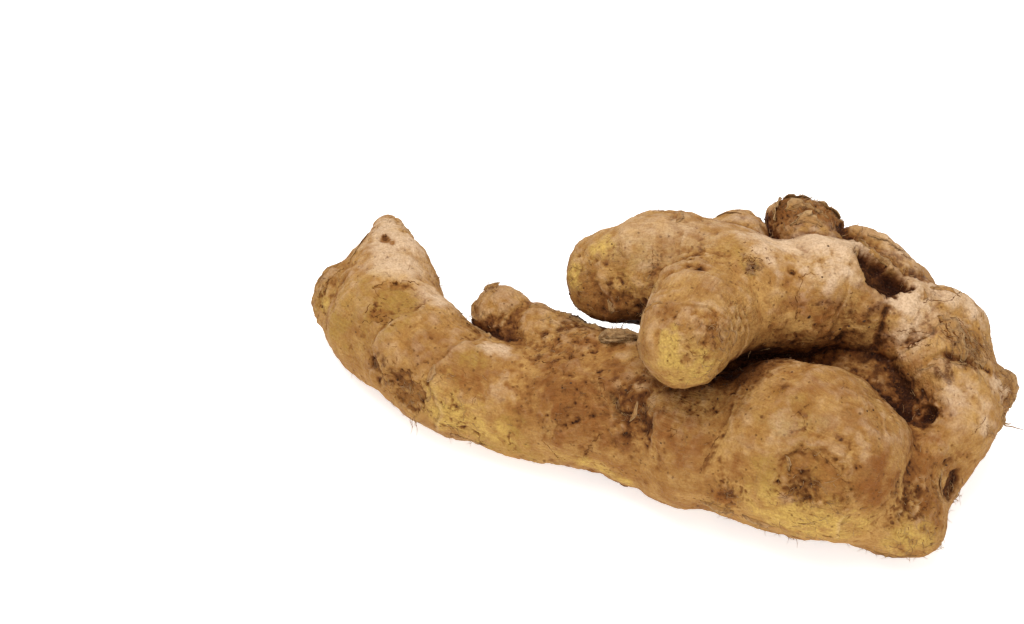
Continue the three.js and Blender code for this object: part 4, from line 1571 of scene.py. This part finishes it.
# pixels along the fixed edge, width and lift in mm, and the side to which it reaches
TORN_EDGES = {
    "shoulder_edge": ([(529, 308), (551, 311), (575, 321), (600, 331)], 3.2, 1.4, 1),
    "left_flake": ([(471, 326), (479, 331), (488, 339)], 2.2, 0.8, 1),
    "bud_flake": ([(481, 287), (490, 283), (498, 286)], 2.8, 1.8, 1),
    "bud_flake_low": ([(476, 300), (474, 309), (478, 320)], 1.4, 0.8, -1),
    "scar_flap": ([(785, 455), (787, 462), (788, 470)], 2.2, 1.6, 1),
    "ear_edge": ([(1000, 372), (1008, 379), (1012, 392), (1011, 408)], 2.4, 1.9, 1),
    "ear_low": ([(1004, 412), (1001, 422), (997, 432)], 1.7, 1.4, 1),
    "bend_scale": ([(937, 316), (948, 330), (958, 347), (962, 362)], 4.6, 0.3, 1),
    "bend_top": ([(930, 288), (945, 290), (960, 297)], 1.6, 0.9, 1),
    "left_rim": ([(341, 263), (327, 272), (316, 284), (312, 296)], 1.3, 0.6, -1),
    "tip_rim": ([(349, 262), (358, 247), (368, 233)], 1.0, 0.5, -1),
    "stub_left": ([(775, 222), (772, 210), (780, 200)], 3.4, 2.6, -1),
    "stub_top": ([(782, 199), (798, 196), (812, 198)], 3.6, 2.8, -1),
    "stub_right": ([(818, 199), (832, 207), (842, 217)], 3.4, 2.6, -1),
    "stub_face": ([(786, 212), (800, 207), (815, 210), (828, 219)], 3.4, 2.0, 1),
    "stub_low": ([(790, 226), (806, 222), (822, 227)], 2.6, 1.6, 1),
    "flap_edge": ([(858, 240), (868, 252), (880, 262), (893, 270)], 2.8, 1.4, 1),
    "flap_top": ([(868, 234), (888, 240), (906, 253)], 1.2, 0.8, -1),
    "knuckle_low": ([(742, 514), (760, 521), (778, 527)], 1.2, 0.8, -1),
    "middle_edge": ([(700, 500), (716, 505), (734, 511)], 1.4, 1.0, -1),
    "left_low": ([(452, 433), (468, 439), (486, 445)], 1.2, 0.7, -1),
    "heel_low": ([(874, 551), (895, 555), (918, 555)], 1.2, 0.9, -1),
    "hollow_rim": ([(942, 470), (941, 484), (943, 498)], 1.2, 0.6, -1),
    "back_bud_edge": ([(716, 216), (728, 212), (742, 214)], 1.2, 0.7, -1),
}


def dry_strip(name, knots, width, lift, reach_side=1):
    """A ragged strip of dry skin, held along the knots and curling off the root."""
    line = spaced(knots, STRIP_STEP)
    length = len(line) * STRIP_STEP
    bpy.ops.mesh.primitive_grid_add(x_subdivisions=len(line) - 1, y_subdivisions=STRIP_ROWS, size=1)
    strip = bpy.context.object
    strip.name = name
    flat = np.array([vertex.co for vertex in strip.data.vertices]) + 0.5
    shift = chance.uniform(0, 100)
    placed = np.empty_like(flat)
    for index, (share, out, _) in enumerate(flat):
        at = share * (len(line) - 1)
        held = places_at(line, at)
        here = min(int(at), len(line) - 2)
        _, normal = on_skin(held)
        side = unit(np.cross(normal, line[here + 1] - line[here])) * reach_side
        slow = noise.noise(Vector((share * length / SLOW_WAVE, shift, 0)))
        teeth = noise.noise(Vector((share * length / TOOTH, shift, 5)))
        taper = math.sin(math.pi * min(max(share, 0.02), 0.98)) ** 0.5
        reach = width * taper * max(0.15, 0.7 + 0.7 * slow + 0.6 * teeth * out) * out
        spot, normal = on_skin(held + side * reach)
        curl = lift * taper * (0.6 + 0.9 * slow + 0.3 * teeth) * out ** 1.6
        placed[index] = spot + normal * (max(curl, 0) + 0.05) - side * 0.35 * max(curl, 0) * out
    write_points(strip, placed)
    store(strip, "sheet", flat * (length, width, 0) + (shift, 0, 0))
    store(strip, "free", flat[:, 1])
    make_active(strip)
    apply_modifier(strip, "SOLIDIFY", thickness=SHEET, offset=0.0)
    return strip


strips = [
    dry_strip(name, [seen(px, py)[0] for px, py in pixels], width, lift, reach_side)
    for name, (pixels, width, lift, reach_side) in TORN_EDGES.items()
]
print("strips placed by eye:", len(strips))

# %% [markdown]
# The rings on the other sides have dry edges as well. Points close to a strong ring are picked by
# chance, and each gets a short strip across the direction in which the lobe grew.

# %% Scatter short strips along the rings
RING_STRIPS = 26
NEAR_RING, STRONG_RING = 0.5, 0.5
OPEN_SHELTER = 0.35

on_ring = (np.abs(ring) < NEAR_RING) & (ring_strength > STRONG_RING)
in_the_open = (points[:, 2] > FLOOR_CLEARANCE) & (shelter < OPEN_SHELTER)
for index in chance.sample(np.flatnonzero(on_ring & in_the_open).tolist(), RING_STRIPS):
    across_lobe = unit(np.cross(normals[index], growth[index]))
    half = chance.uniform(1.2, 3.4)
    knots = [on_skin(points[index] + across_lobe * step * half)[0] for step in (-1, 0, 1)]
    strips.append(dry_strip("ring_strip", knots, chance.uniform(0.9, 2.2), chance.uniform(0.1, 0.4)))
dry_scales = join(strips, "dry_scales")
print("strips in all:", len(strips), "faces:", len(dry_scales.data.polygons))

# %% [markdown]
# ## Rootlets and fibres
# One fibre is modelled: a five-sided rod, extruded ring by ring and drawn in each time, so that it
# ends in a point. Each copy is then bent along its own path, which lies on the skin or stands off it.

# %% Model one fibre
FIBRE_RINGS = 8
FIBRE_SIDES = 5
FIBRE_TAPER = 0.88


def model_fibre():
    """A fibre of length 1 and radius 1, along +Z from the origin."""
    step = 1 / FIBRE_RINGS
    bpy.ops.mesh.primitive_cylinder_add(
        vertices=FIBRE_SIDES, radius=1, depth=step, location=(0, 0, step / 2), end_fill_type="TRIFAN"
    )
    fibre = bpy.context.object
    bpy.ops.object.transform_apply(location=True, rotation=False, scale=False)
    bpy.ops.object.mode_set(mode="EDIT")
    bpy.ops.mesh.select_mode(type="FACE")
    bpy.ops.mesh.select_all(action="DESELECT")
    mesh = bmesh.from_edit_mesh(fibre.data)
    for face in mesh.faces:
        if face.normal.z > 0.9:
            face.select_set(True)
    bmesh.update_edit_mesh(fibre.data)
    for _ in range(FIBRE_RINGS - 1):
        bpy.ops.mesh.extrude_region_move(TRANSFORM_OT_translate={"value": (0, 0, step)})
        bpy.ops.transform.resize(value=(FIBRE_TAPER, FIBRE_TAPER, 1))
    bpy.ops.object.mode_set(mode="OBJECT")
    return fibre


fibre_model = model_fibre()
fibre_shape = np.array([vertex.co for vertex in fibre_model.data.vertices])
print("one fibre:", len(fibre_model.data.polygons), "faces")

# %% [markdown]
# A fibre starts at a spot of the skin and heads off along it. Stand is how steeply it leaves: a low
# one hugs the skin and a high one sticks out. A little chance at each step makes it wander.

# %% Bend copies of the fibre
FIBRE_DROOP = 0.02
OFF_AXIS = (0.31, 0.48, 0.82)


def fibre_path(start, normal, heading, length, stand, wander, clearance=0.12):
    """Places along one fibre, in millimetres."""
    step = length / FIBRE_RINGS
    path = [start - normal * 0.1]
    direction = unit(heading * (1 - stand) + normal * stand)
    for ring_number in range(FIBRE_RINGS):
        stray = np.array([chance.gauss(0, wander) for _ in range(3)]) - (0, 0, FIBRE_DROOP)
        direction = unit(direction + stray)
        place = path[-1] + direction * step
        spot, under = on_skin(place)
        height = (place - spot) @ under
        clear = clearance + stand * step * (ring_number + 1) * 0.5
        hugging = spot + under * clear
        if (height < clear or stand < 0.3) and np.linalg.norm(hugging - place) < 1.5 * step:
            place = hugging
        place[2] = max(place[2], 0.3)
        path.append(place)
    return np.array(path)


def bent_fibre(path, girth):
    """A copy of the fibre, laid along the path."""
    copy = copy_of(fibre_model)
    at = fibre_shape[:, 2] * FIBRE_RINGS
    middle = places_at(path, at)
    ways = np.gradient(path, axis=0)
    forwards = ways[at.round().astype(int)]
    forwards /= np.linalg.norm(forwards, axis=1, keepdims=True)
    sides = np.cross(forwards, OFF_AXIS)
    sides /= np.linalg.norm(sides, axis=1, keepdims=True)
    others = np.cross(forwards, sides)
    write_points(copy, middle + girth * (fibre_shape[:, :1] * sides + fibre_shape[:, 1:2] * others))
    return copy


def frame_heading(normal, degrees):
    """The direction on the skin that points this way in the frame: 0 is right, 90 is up."""
    turn = math.radians(degrees)
    wanted = np.array(Vector((math.cos(turn), 0, 0)) + upward * math.sin(turn))
    return unit(wanted - normal * (wanted @ normal))


# pixel x, pixel y, spread in pixels, how many, length in mm, radius in mm, heading in degrees and its
# spread, stand
FIBRE_SPOTS = {
    "torn_root": (406, 388, 18, 60, 2.4, 0.07, -60, 90, 0.08),
    "torn_root_hang": (412, 418, 6, 7, 3.6, 0.12, -90, 25, 0.5),
    "left_edge": (455, 434, 12, 9, 2.6, 0.09, -70, 50, 0.5),
    "left_streaks": (447, 412, 26, 16, 4.0, 0.07, -20, 35, 0.08),
    "hair_left": (484, 294, 1, 2, 4.0, 0.10, 80, 10, 0.7),
    "bud_crown": (488, 288, 10, 16, 2.4, 0.09, 120, 70, 0.45),
    "bud_side": (478, 312, 8, 12, 2.2, 0.09, 180, 70, 0.4),
    "shoulder_edge": (566, 322, 34, 34, 2.6, 0.08, 150, 60, 0.3),
    "shoulder_face": (560, 340, 34, 34, 2.6, 0.07, -20, 60, 0.12),
    "middle_valley": (632, 410, 22, 26, 2.8, 0.08, -40, 90, 0.15),
    "shade_hairs": (640, 392, 26, 16, 3.4, 0.08, 10, 60, 0.3),
    "crusty_spot": (725, 497, 12, 22, 2.0, 0.09, -90, 180, 0.3),
    "crusty_edge": (731, 510, 5, 5, 3.0, 0.10, -80, 30, 0.7),
    "big_scar": (800, 488, 22, 30, 2.0, 0.08, -30, 120, 0.08),
    "big_scar_streaks": (812, 512, 34, 26, 4.0, 0.08, -10, 30, 0.06),
    "knuckle_edge": (790, 536, 40, 14, 2.2, 0.08, -80, 40, 0.5),
    "heel_front": (922, 520, 26, 54, 2.8, 0.08, -70, 70, 0.22),
    "heel_edge": (938, 545, 12, 12, 1.8, 0.08, -40, 60, 0.45),
    "heel_bottom": (893, 552, 30, 16, 2.2, 0.08, -90, 40, 0.5),
    "hollow": (952, 488, 12, 20, 2.2, 0.08, -90, 50, 0.12),
    "hollow_edge": (957, 500, 7, 10, 2.6, 0.09, -30, 50, 0.6),
    "ear_sliver": (1002, 420, 1, 2, 7.0, 0.34, -92, 6, 0.4),
    "ear_corner": (1006, 390, 16, 30, 2.8, 0.09, -20, 80, 0.5),
    "ear_low": (990, 428, 8, 12, 2.4, 0.09, -60, 60, 0.5),
    "pit_valley": (890, 400, 20, 10, 1.6, 0.07, -60, 120, 0.08),
    "bend_scale": (965, 342, 16, 52, 5.5, 0.09, -62, 16, 0.1),
    "bend_edge": (986, 345, 6, 12, 2.6, 0.08, 20, 60, 0.5),
    "bend_strokes": (946, 325, 8, 10, 4.0, 0.10, -42, 14, 0.05),
    "stub_crown": (808, 198, 34, 60, 2.6, 0.09, 90, 80, 0.4),
    "stub_face": (808, 214, 30, 50, 3.0, 0.09, 90, 120, 0.3),
    "flap": (890, 246, 14, 10, 3.4, 0.07, -35, 24, 0.08),
    "flap_foot": (902, 285, 10, 10, 2.2, 0.09, -30, 90, 0.3),
    "flap_start": (860, 240, 8, 14, 2.2, 0.09, 120, 90, 0.2),
    "arm_end": (583, 270, 16, 16, 2.2, 0.08, 180, 90, 0.3),
    "arm_under": (640, 303, 30, 26, 2.4, 0.08, -80, 90, 0.2),
    "thumb_side": (716, 335, 14, 30, 2.2, 0.09, -60, 90, 0.3),
    "thumb_end": (700, 372, 16, 14, 2.0, 0.08, -60, 90, 0.25),
    "grey_scab": (752, 264, 8, 18, 1.8, 0.09, -60, 120, 0.25),
    "tip": (388, 226, 8, 8, 1.8, 0.08, 90, 70, 0.4),
    "tip_right": (438, 280, 8, 8, 2.4, 0.08, 20, 60, 0.5),
    "left_rim": (322, 282, 12, 12, 2.0, 0.08, 200, 50, 0.4),
    "notch": (376, 362, 6, 10, 2.4, 0.09, -60, 60, 0.3),
    "dried_bud": (614, 336, 8, 40, 4.4, 0.11, -12, 24, 0.5),
}
FIBRE_STRAY = 0.26


def tuft(px, py, spread, count, length, girth, heading, heading_spread, stand, clearance=0.12):
    """Fibres scattered round a pixel."""
    centre, _ = seen(px, py)
    grown = []
    for _ in range(count):
        away = np.array([chance.gauss(0, spread * PIXEL / MM / 1.6) for _ in range(3)])
        start, normal = on_skin(centre + away)
        way = frame_heading(normal, heading + chance.gauss(0, heading_spread / 1.6))
        lengthways, steepness = length * chance.uniform(0.5, 1.25), stand * chance.uniform(0.5, 1.4)
        path = fibre_path(start, normal, way, lengthways, steepness, FIBRE_STRAY, clearance)
        grown.append(bent_fibre(path, girth * chance.uniform(0.6, 1.2)))
    return grown


made_fibres = [fibre for spot in FIBRE_SPOTS.values() for fibre in tuft(*spot)]
print("fibres placed by eye:", len(made_fibres))

# %% [markdown]
# The whole root has a thin cover of such stubble, thickest where the skin is rough.

# %% Scatter stubble over the whole root
STUBBLE = 420

likely = (0.15 + rough + brown) * (points[:, 2] > 1.5) * (shelter < 0.6)
for index in chance.choices(range(len(points)), likely.tolist(), k=STUBBLE):
    way = unit(growth[index] - normals[index] * (growth[index] @ normals[index]))
    way = unit(way + np.array([chance.gauss(0, 0.5) for _ in range(3)]))
    length, stand = chance.uniform(0.8, 2.6), chance.uniform(0.05, 0.5)
    path = fibre_path(points[index], normals[index], way, length, stand, FIBRE_STRAY)
    made_fibres.append(bent_fibre(path, chance.uniform(0.05, 0.09)))
rootlets = join(made_fibres, "rootlets")
print("fibres in all:", len(made_fibres), "faces:", len(rootlets.data.polygons))

# %% [markdown]
# ## Hairline splits and dark stubble
# Thin skin splits as it dries, and dirt fills the splits. They are finer than the squares of the skin,
# so each one is laid as dark threads, flush with the skin and in short lengths, as a real split is
# broken. Tufts of short dark threads stand for the torn ends of old fibres.

# %% Lay the splits and the dark stubble
SPLIT_STEP = 0.5
SPLIT_WANDER = 0.22
SPLIT_SWELL = 1.15
FLUSH = 0.02

# pixels along each split, and its radius in mm
# the threads of scar_top and shaved_top are partly painted shadow under a raised rim
SPLITS = {
    "eye_swirl": (
        [(366, 312), (368, 307), (374, 304), (380, 307), (381, 313), (376, 317), (370, 315)], 0.11,
    ),
    "eye_inner": ([(371, 312), (374, 308), (378, 310)], 0.1),
    "eye_almond": ([(381, 319), (386, 315), (393, 321), (387, 324), (381, 319)], 0.12),
    "eye_tail": ([(363, 322), (373, 321), (383, 325), (396, 325)], 0.09),
    "shaved_top": ([(374, 286), (384, 283), (394, 283), (404, 281), (414, 282), (420, 286)], 0.11),
    "shaved_left": ([(374, 288), (377, 295), (385, 300)], 0.07),
    "left_groove": ([(344, 268), (334, 275), (324, 285), (318, 298)], 0.08),
    "upper_crack": (
        [(790, 268), (796, 274), (802, 278), (799, 290), (796, 297), (798, 304), (796, 319)], 0.09,
    ),
    "upper_branch": ([(802, 278), (806, 274), (811, 273), (815, 275)], 0.09),
    "middle_crack": ([(602, 432), (594, 441), (588, 449), (584, 456)], 0.13),
    "middle_left": ([(543, 441), (549, 446), (554, 453), (559, 459)], 0.1),
    "middle_top": ([(598, 377), (602, 383), (606, 389)], 0.24),
    "second_swirl": ([(668, 431), (672, 428), (677, 430), (676, 435), (670, 437)], 0.09),
    "second_fold": ([(718, 437), (711, 448), (706, 458), (701, 470)], 0.11),
    "shoulder_fold": ([(541, 361), (551, 363), (562, 359), (574, 358)], 0.11),
    "scar_top": ([(786, 455), (798, 449), (812, 450), (826, 459), (838, 470), (845, 482)], 0.06),
    "scar_low": ([(776, 490), (788, 499), (806, 503), (820, 500)], 0.06),
    "knuckle_across": ([(790, 417), (797, 413), (803, 409), (812, 403)], 0.06),
    "knuckle_down": ([(800, 412), (803, 421), (806, 431)], 0.07),
    "heel_line": ([(987, 418), (980, 426), (972, 434)], 0.07),
    "band_top": ([(897, 332), (908, 329), (920, 331), (932, 334)], 0.07),
    "band_low": ([(908, 348), (920, 346), (934, 345)], 0.07),
    "bend_stroke": ([(940, 320), (947, 326), (954, 333), (961, 341)], 0.26),
    "bend_stroke_low": ([(944, 330), (950, 337), (955, 346)], 0.14),
    "bend_stroke_top": ([(949, 322), (956, 329), (962, 336)], 0.16),
    "bend_zigzag": ([(924, 304), (931, 299), (940, 301), (951, 301), (957, 295), (962, 290)], 0.09),
    "thumb_fold": ([(688, 350), (694, 356), (702, 355), (709, 348)], 0.07),
    "thumb_side": ([(716, 322), (720, 331), (722, 341)], 0.09),
    "arm_stroke": ([(655, 250), (652, 258), (654, 266)], 0.07),
}
# as the fibres above
DARK_STUBBLE = {
    "torn_root": (404, 380, 24, 110, 1.3, 0.08, -60, 140, 0.02),
    "scab": (752, 262, 14, 80, 0.9, 0.12, -60, 180, 0.02),
    "scar_middle": (797, 489, 9, 26, 1.2, 0.09, 0, 180, 0.02),
    "root_pit": (928, 415, 6, 16, 1.2, 0.10, 0, 180, 0.02),
    "bend_foot": (884, 392, 22, 36, 1.2, 0.10, 0, 180, 0.02),
    "crusty_spot": (726, 497, 10, 20, 1.2, 0.08, -90, 180, 0.02),
    "heel_front": (914, 505, 24, 40, 1.4, 0.08, -80, 120, 0.02),
    "upper_under": (850, 340, 40, 26, 1.2, 0.09, 0, 180, 0.02),
    "bend_face": (915, 352, 24, 30, 1.1, 0.09, 0, 180, 0.02),
    "knuckle_top": (770, 372, 36, 30, 1.0, 0.08, 0, 180, 0.02),
    "tip_pit": (386, 238, 5, 10, 0.8, 0.08, 0, 180, 0.02),
    "middle_valley": (628, 402, 26, 50, 1.4, 0.08, -50, 120, 0.02),
    "shoulder": (560, 345, 36, 36, 1.2, 0.08, 0, 180, 0.02),
    "left_streaks": (452, 412, 28, 14, 2.2, 0.06, -20, 40, 0.02),
    "below_scar": (812, 512, 34, 16, 3.0, 0.06, -10, 20, 0.02),
    "bend_strokes": (950, 324, 12, 14, 3.6, 0.09, -42, 14, 0.02),
    "bend_edge": (972, 345, 14, 26, 3.6, 0.08, -62, 14, 0.02),
    "thumb_front": (698, 345, 16, 16, 1.2, 0.07, -40, 60, 0.02),
    "arm_under": (620, 300, 34, 30, 1.2, 0.08, 0, 180, 0.02),
}


def split_threads(pixels, girth):
    """Flush threads, end to end, along the pixels."""
    line = spaced([seen(px, py)[0] for px, py in pixels], SPLIT_STEP)
    threads = []
    for first in range(0, len(line) - 1, FIBRE_RINGS):
        last = min(first + FIBRE_RINGS, len(line) - 1)
        at = np.linspace(first, last, FIBRE_RINGS + 1)
        path = places_at(line, at)
        stray = np.array([[chance.gauss(0, SPLIT_WANDER) for _ in range(3)] for _ in at])
        laid = [on_skin(place) for place in path + stray]
        path = np.array([spot + normal * FLUSH for spot, normal in laid])
        threads.append(bent_fibre(path, SPLIT_SWELL * girth * chance.uniform(0.7, 1.2)))
    return threads


dark_threads = [thread for pixels, girth in SPLITS.values() for thread in split_threads(pixels, girth)]
dark_threads += [thread for spot in DARK_STUBBLE.values() for thread in tuft(*spot, clearance=FLUSH)]
bpy.data.objects.remove(fibre_model)
skin_splits = join(dark_threads, "skin_splits")
print("dark threads:", len(dark_threads), "faces:", len(skin_splits.data.polygons))

# %% [markdown]
# ## Crumbs of soil
# A crumb is a small ball, dented by noise and a little flattened. It is modelled once. Copies are
# turned and sized by chance, and set where the shelter and the stains are strongest.

# %% Scatter the crumbs
CRUMBS = 520
CRUMB_RADIUS = (0.12, 0.42)
CRUMB_LIFT, PORE_LIFT = 0.4, -0.4

# pores full of soil: pixel x, pixel y, radius in mm
PORES = [
    (809, 317, 0.62), (815, 324, 0.42), (828, 246, 0.42), (822, 277, 0.36), (840, 329, 0.5),
    (849, 326, 0.4), (864, 321, 0.55), (869, 327, 0.4), (830, 338, 0.4), (901, 345, 0.3),
    (889, 361, 0.5), (893, 371, 0.4), (908, 374, 0.4), (386, 236, 0.42), (389, 241, 0.3),
    (699, 269, 0.5), (612, 244, 0.3), (571, 383, 0.36), (661, 443, 0.3), (792, 372, 0.36),
    (783, 379, 0.3), (873, 410, 0.45), (867, 411, 0.36), (356, 332, 0.3),
]


def model_crumb():
    """A rough ball of radius 1."""
    bpy.ops.mesh.primitive_ico_sphere_add(subdivisions=2, radius=1)
    bpy.ops.object.mode_set(mode="EDIT")
    bpy.ops.mesh.select_all(action="SELECT")
    bpy.ops.transform.vertex_random(offset=0.22, seed=3)
    bpy.ops.transform.resize(value=(1.0, 0.85, 0.7))
    bpy.ops.object.mode_set(mode="OBJECT")
    return bpy.context.object


crumb_model = model_crumb()
crumb_shape = np.array([vertex.co for vertex in crumb_model.data.vertices])
sheltered = np.clip(shelter - 0.12, 0, 0.5) * 3 + 0.5 * brown * rough + 0.9 * dark
sheltered *= (normals[:, 2] > -0.1) * (points[:, 2] > 1.5)


def crumb_at(place, normal, radius, lift, shape):
    """A crumb whose middle is lifted off the skin by a share of its radius."""
    crumb = copy_of(crumb_model)
    write_points(crumb, place + normal * radius * lift + shape * radius)
    return crumb


crumbs = []
for index in chance.choices(range(len(points)), (sheltered ** 1.5).tolist(), k=CRUMBS):
    radius = chance.uniform(*CRUMB_RADIUS) * chance.uniform(0.5, 1.0)
    turn = chance.uniform(0, math.tau)
    turned = Matrix.Rotation(turn, 3, Vector([chance.gauss(0, 1) for _ in range(3)]))
    shape = crumb_shape @ np.array(turned).T
    crumbs.append(crumb_at(points[index], normals[index], radius, CRUMB_LIFT, shape))
for px, py, radius in PORES:
    crumbs.append(crumb_at(*seen(px, py), radius, PORE_LIFT, crumb_shape))
bpy.data.objects.remove(crumb_model)
soil_crumbs = join(crumbs, "soil_crumbs")
print("crumbs:", len(crumbs), "faces:", len(soil_crumbs.data.polygons))

# %% [markdown]
# ## The dried bud
# Between the long finger and the trunk sits a bud that never grew. It is a small cone of dry grey
# scales. A ball is drawn out and pinched at its end in edit mode, and scales and fibres cover it.

# %% Model the dried bud
BUD_AT = (619, 339)
BUD_LENGTH, BUD_GIRTH = 5.0, 1.9
BUD_HEADING = -12
# how far up the ball, and how much everything above is drawn in there
BUD_PINCHES = ((0.35, 0.86), (0.65, 0.72))
BUD_DRAWN_OUT = 1.12
BUD_ROUGHNESS = 1.25

bud_foot, bud_normal = seen(*BUD_AT)
bud_way = frame_heading(bud_normal, BUD_HEADING)
bud_side = np.cross(bud_normal, bud_way)
bpy.ops.mesh.primitive_uv_sphere_add(segments=48, ring_count=30, radius=1)
dried_bud = bpy.context.object
dried_bud.name = "dried_bud"
bpy.ops.object.mode_set(mode="EDIT")
bud_mesh = bmesh.from_edit_mesh(dried_bud.data)
for ring_height, pinch in BUD_PINCHES:
    for vertex in bud_mesh.verts:
        vertex.select_set(vertex.co.z > ring_height)
    bud_mesh.select_flush_mode()
    bmesh.update_edit_mesh(dried_bud.data)
    drawn = (pinch, pinch, BUD_DRAWN_OUT)
    bpy.ops.transform.resize(value=drawn, center_override=(0, 0, ring_height))
bpy.ops.object.mode_set(mode="OBJECT")
bud_shape = np.array([vertex.co for vertex in dried_bud.data.vertices])
bud_points = (
    bud_foot + bud_normal * BUD_GIRTH * 0.35 + bud_way * bud_shape[:, 2:] * BUD_LENGTH
    + (bud_normal * bud_shape[:, :1] + bud_side * bud_shape[:, 1:2]) * BUD_GIRTH
)
bud_outward = bud_shape / np.linalg.norm(bud_shape, axis=1, keepdims=True)
bud_rough = waviness(bud_shape * (1.0, 1.0, 0.16), 0.2, 3, shift=90.0) * BUD_ROUGHNESS
write_points(dried_bud, bud_points + (
    bud_normal * bud_outward[:, :1] + bud_side * bud_outward[:, 1:2]
) * bud_rough[:, None])
store(dried_bud, "sheet", bud_shape[:, [2, 0, 1]] * 6.0)
store(dried_bud, "free", 1.0 + 1.2 * bud_rough)
make_active(dried_bud)
bpy.ops.object.shade_smooth()
print("dried bud:", len(dried_bud.data.polygons), "faces")

# %% [markdown]
# ## Finishes of the clinging pieces
# Dry skin is paler than the root, greyish at its free edge and streaked along its fibres. The
# fibres go from brown to straw. Soil is dark and dull, with a little red in it.

# %% Mix the finishes
PAPER = (0.46, 0.26, 0.10, 1)
PAPER_GREY = (0.52, 0.355, 0.185, 1)
STRAW = (0.36, 0.215, 0.095, 1)
FIBRE_BROWN = (0.155, 0.068, 0.024, 1)
SOIL_RED = (0.085, 0.032, 0.013, 1)
SOIL_GREY = (0.16, 0.10, 0.06, 1)


def spotted(tree, grounds, ground_clouds, spot, spot_clouds, share):
    """Clouds of one colour over another, then spots of a third. Gives the mask of the spots too."""
    under, over = grounds
    colour = blend(tree, cloud(tree, *ground_clouds), under, over)
    spots = cloud(tree, *spot_clouds)
    return blend(tree, both(tree, spots, share), colour, spot), spots


def dry_skin_material():
    material, tree, shader = principled("dry_skin", 0.85, 0.25)
    streaks = use_group(
        tree, fibres, Position=field_value(tree, "sheet", "Vector"), Width=0.35, Length=3.0
    )
    colour = blend(tree, cloud(tree, 5.0, 0.55), TAN, PAPER)
    free_edge = remap(tree, field_value(tree, "free"), 0.45, 1.0, 0.0, 0.55)
    colour = blend(tree, free_edge, colour, PAPER_GREY)
    colour = blend(tree, both(tree, streaks, 0.45), colour, BROWN)
    colour = blend(tree, both(tree, cloud(tree, 1.1, 0.4, 0.5), 0.5), colour, UMBER)
    set_surface(tree, shader, colour, streaks, 0.15, 0.8)
    return material


def rootlet_material():
    material, tree, shader = principled("rootlet_fibre", 0.8, 0.25)
    browns = (FIBRE_BROWN, STRAW)
    colour, spots = spotted(tree, browns, (6.0, 0.55, 0.4), BROWN, (0.9, 0.45, 0.5), 0.5)
    set_surface(tree, shader, colour, spots, 0.05, 0.6)
    return material


def split_material():
    material, tree, shader = principled("dark_split", 0.9, 0.1)
    colour, spots = spotted(tree, (UMBER, SPECK), (3.0,), BROWN, (0.7, 0.45, 0.5), 0.8)
    set_surface(tree, shader, colour, spots, 0.05, 0.6)
    return material


def soil_material():
    material, tree, shader = principled("clinging_soil", 0.95, 0.15)
    colour, _ = spotted(tree, (SOIL_AND_DEEP_SHADE, SOIL_RED), (4.0,), SOIL_GREY, (0.5, 0.4, 0.6), 0.4)
    set_surface(tree, shader, colour, grains(tree, 0.2, 3.0), 0.08, 0.9)
    return material


dry_skin = dry_skin_material()
dry_scales.data.materials.append(dry_skin)
dried_bud.data.materials.append(dry_skin)
rootlets.data.materials.append(rootlet_material())
skin_splits.data.materials.append(split_material())
soil_crumbs.data.materials.append(soil_material())
print("finishes:", [material.name for material in bpy.data.materials])

# %% [markdown]
# ## A plain floor
# The floor isn't part of the root. It is a smooth off-white sheet that glows a little, which keeps it
# white where the lamps leave it grey.

# %% Finish the floor
OFF_WHITE, WHITE = (0.9, 0.9, 0.89, 1), (1, 1, 1, 1)
FLOOR_GLOW = 0.55

floor_material, _, floor_shader = principled("pale_floor", 0.9, 0.1)
floor_shader.inputs["Base Color"].default_value = OFF_WHITE
floor_shader.inputs["Emission Color"].default_value = WHITE
floor_shader.inputs["Emission Strength"].default_value = FLOOR_GLOW
floor.data.materials.append(floor_material)
print("floor glow:", FLOOR_GLOW)

# %% [markdown]
# ## One body
# Every piece rides on the one body, and the skin stands for the solid model's rhizome.

# %% Attach the pieces and finish
SLOTS = {
    skin: "skin", dry_scales: "dry_fibre", dried_bud: "dry_fibre", rootlets: "dry_fibre",
    skin_splits: "soil", soil_crumbs: "soil",
}
for piece, slot_name in SLOTS.items():
    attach(piece, "root")
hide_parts("rhizome")
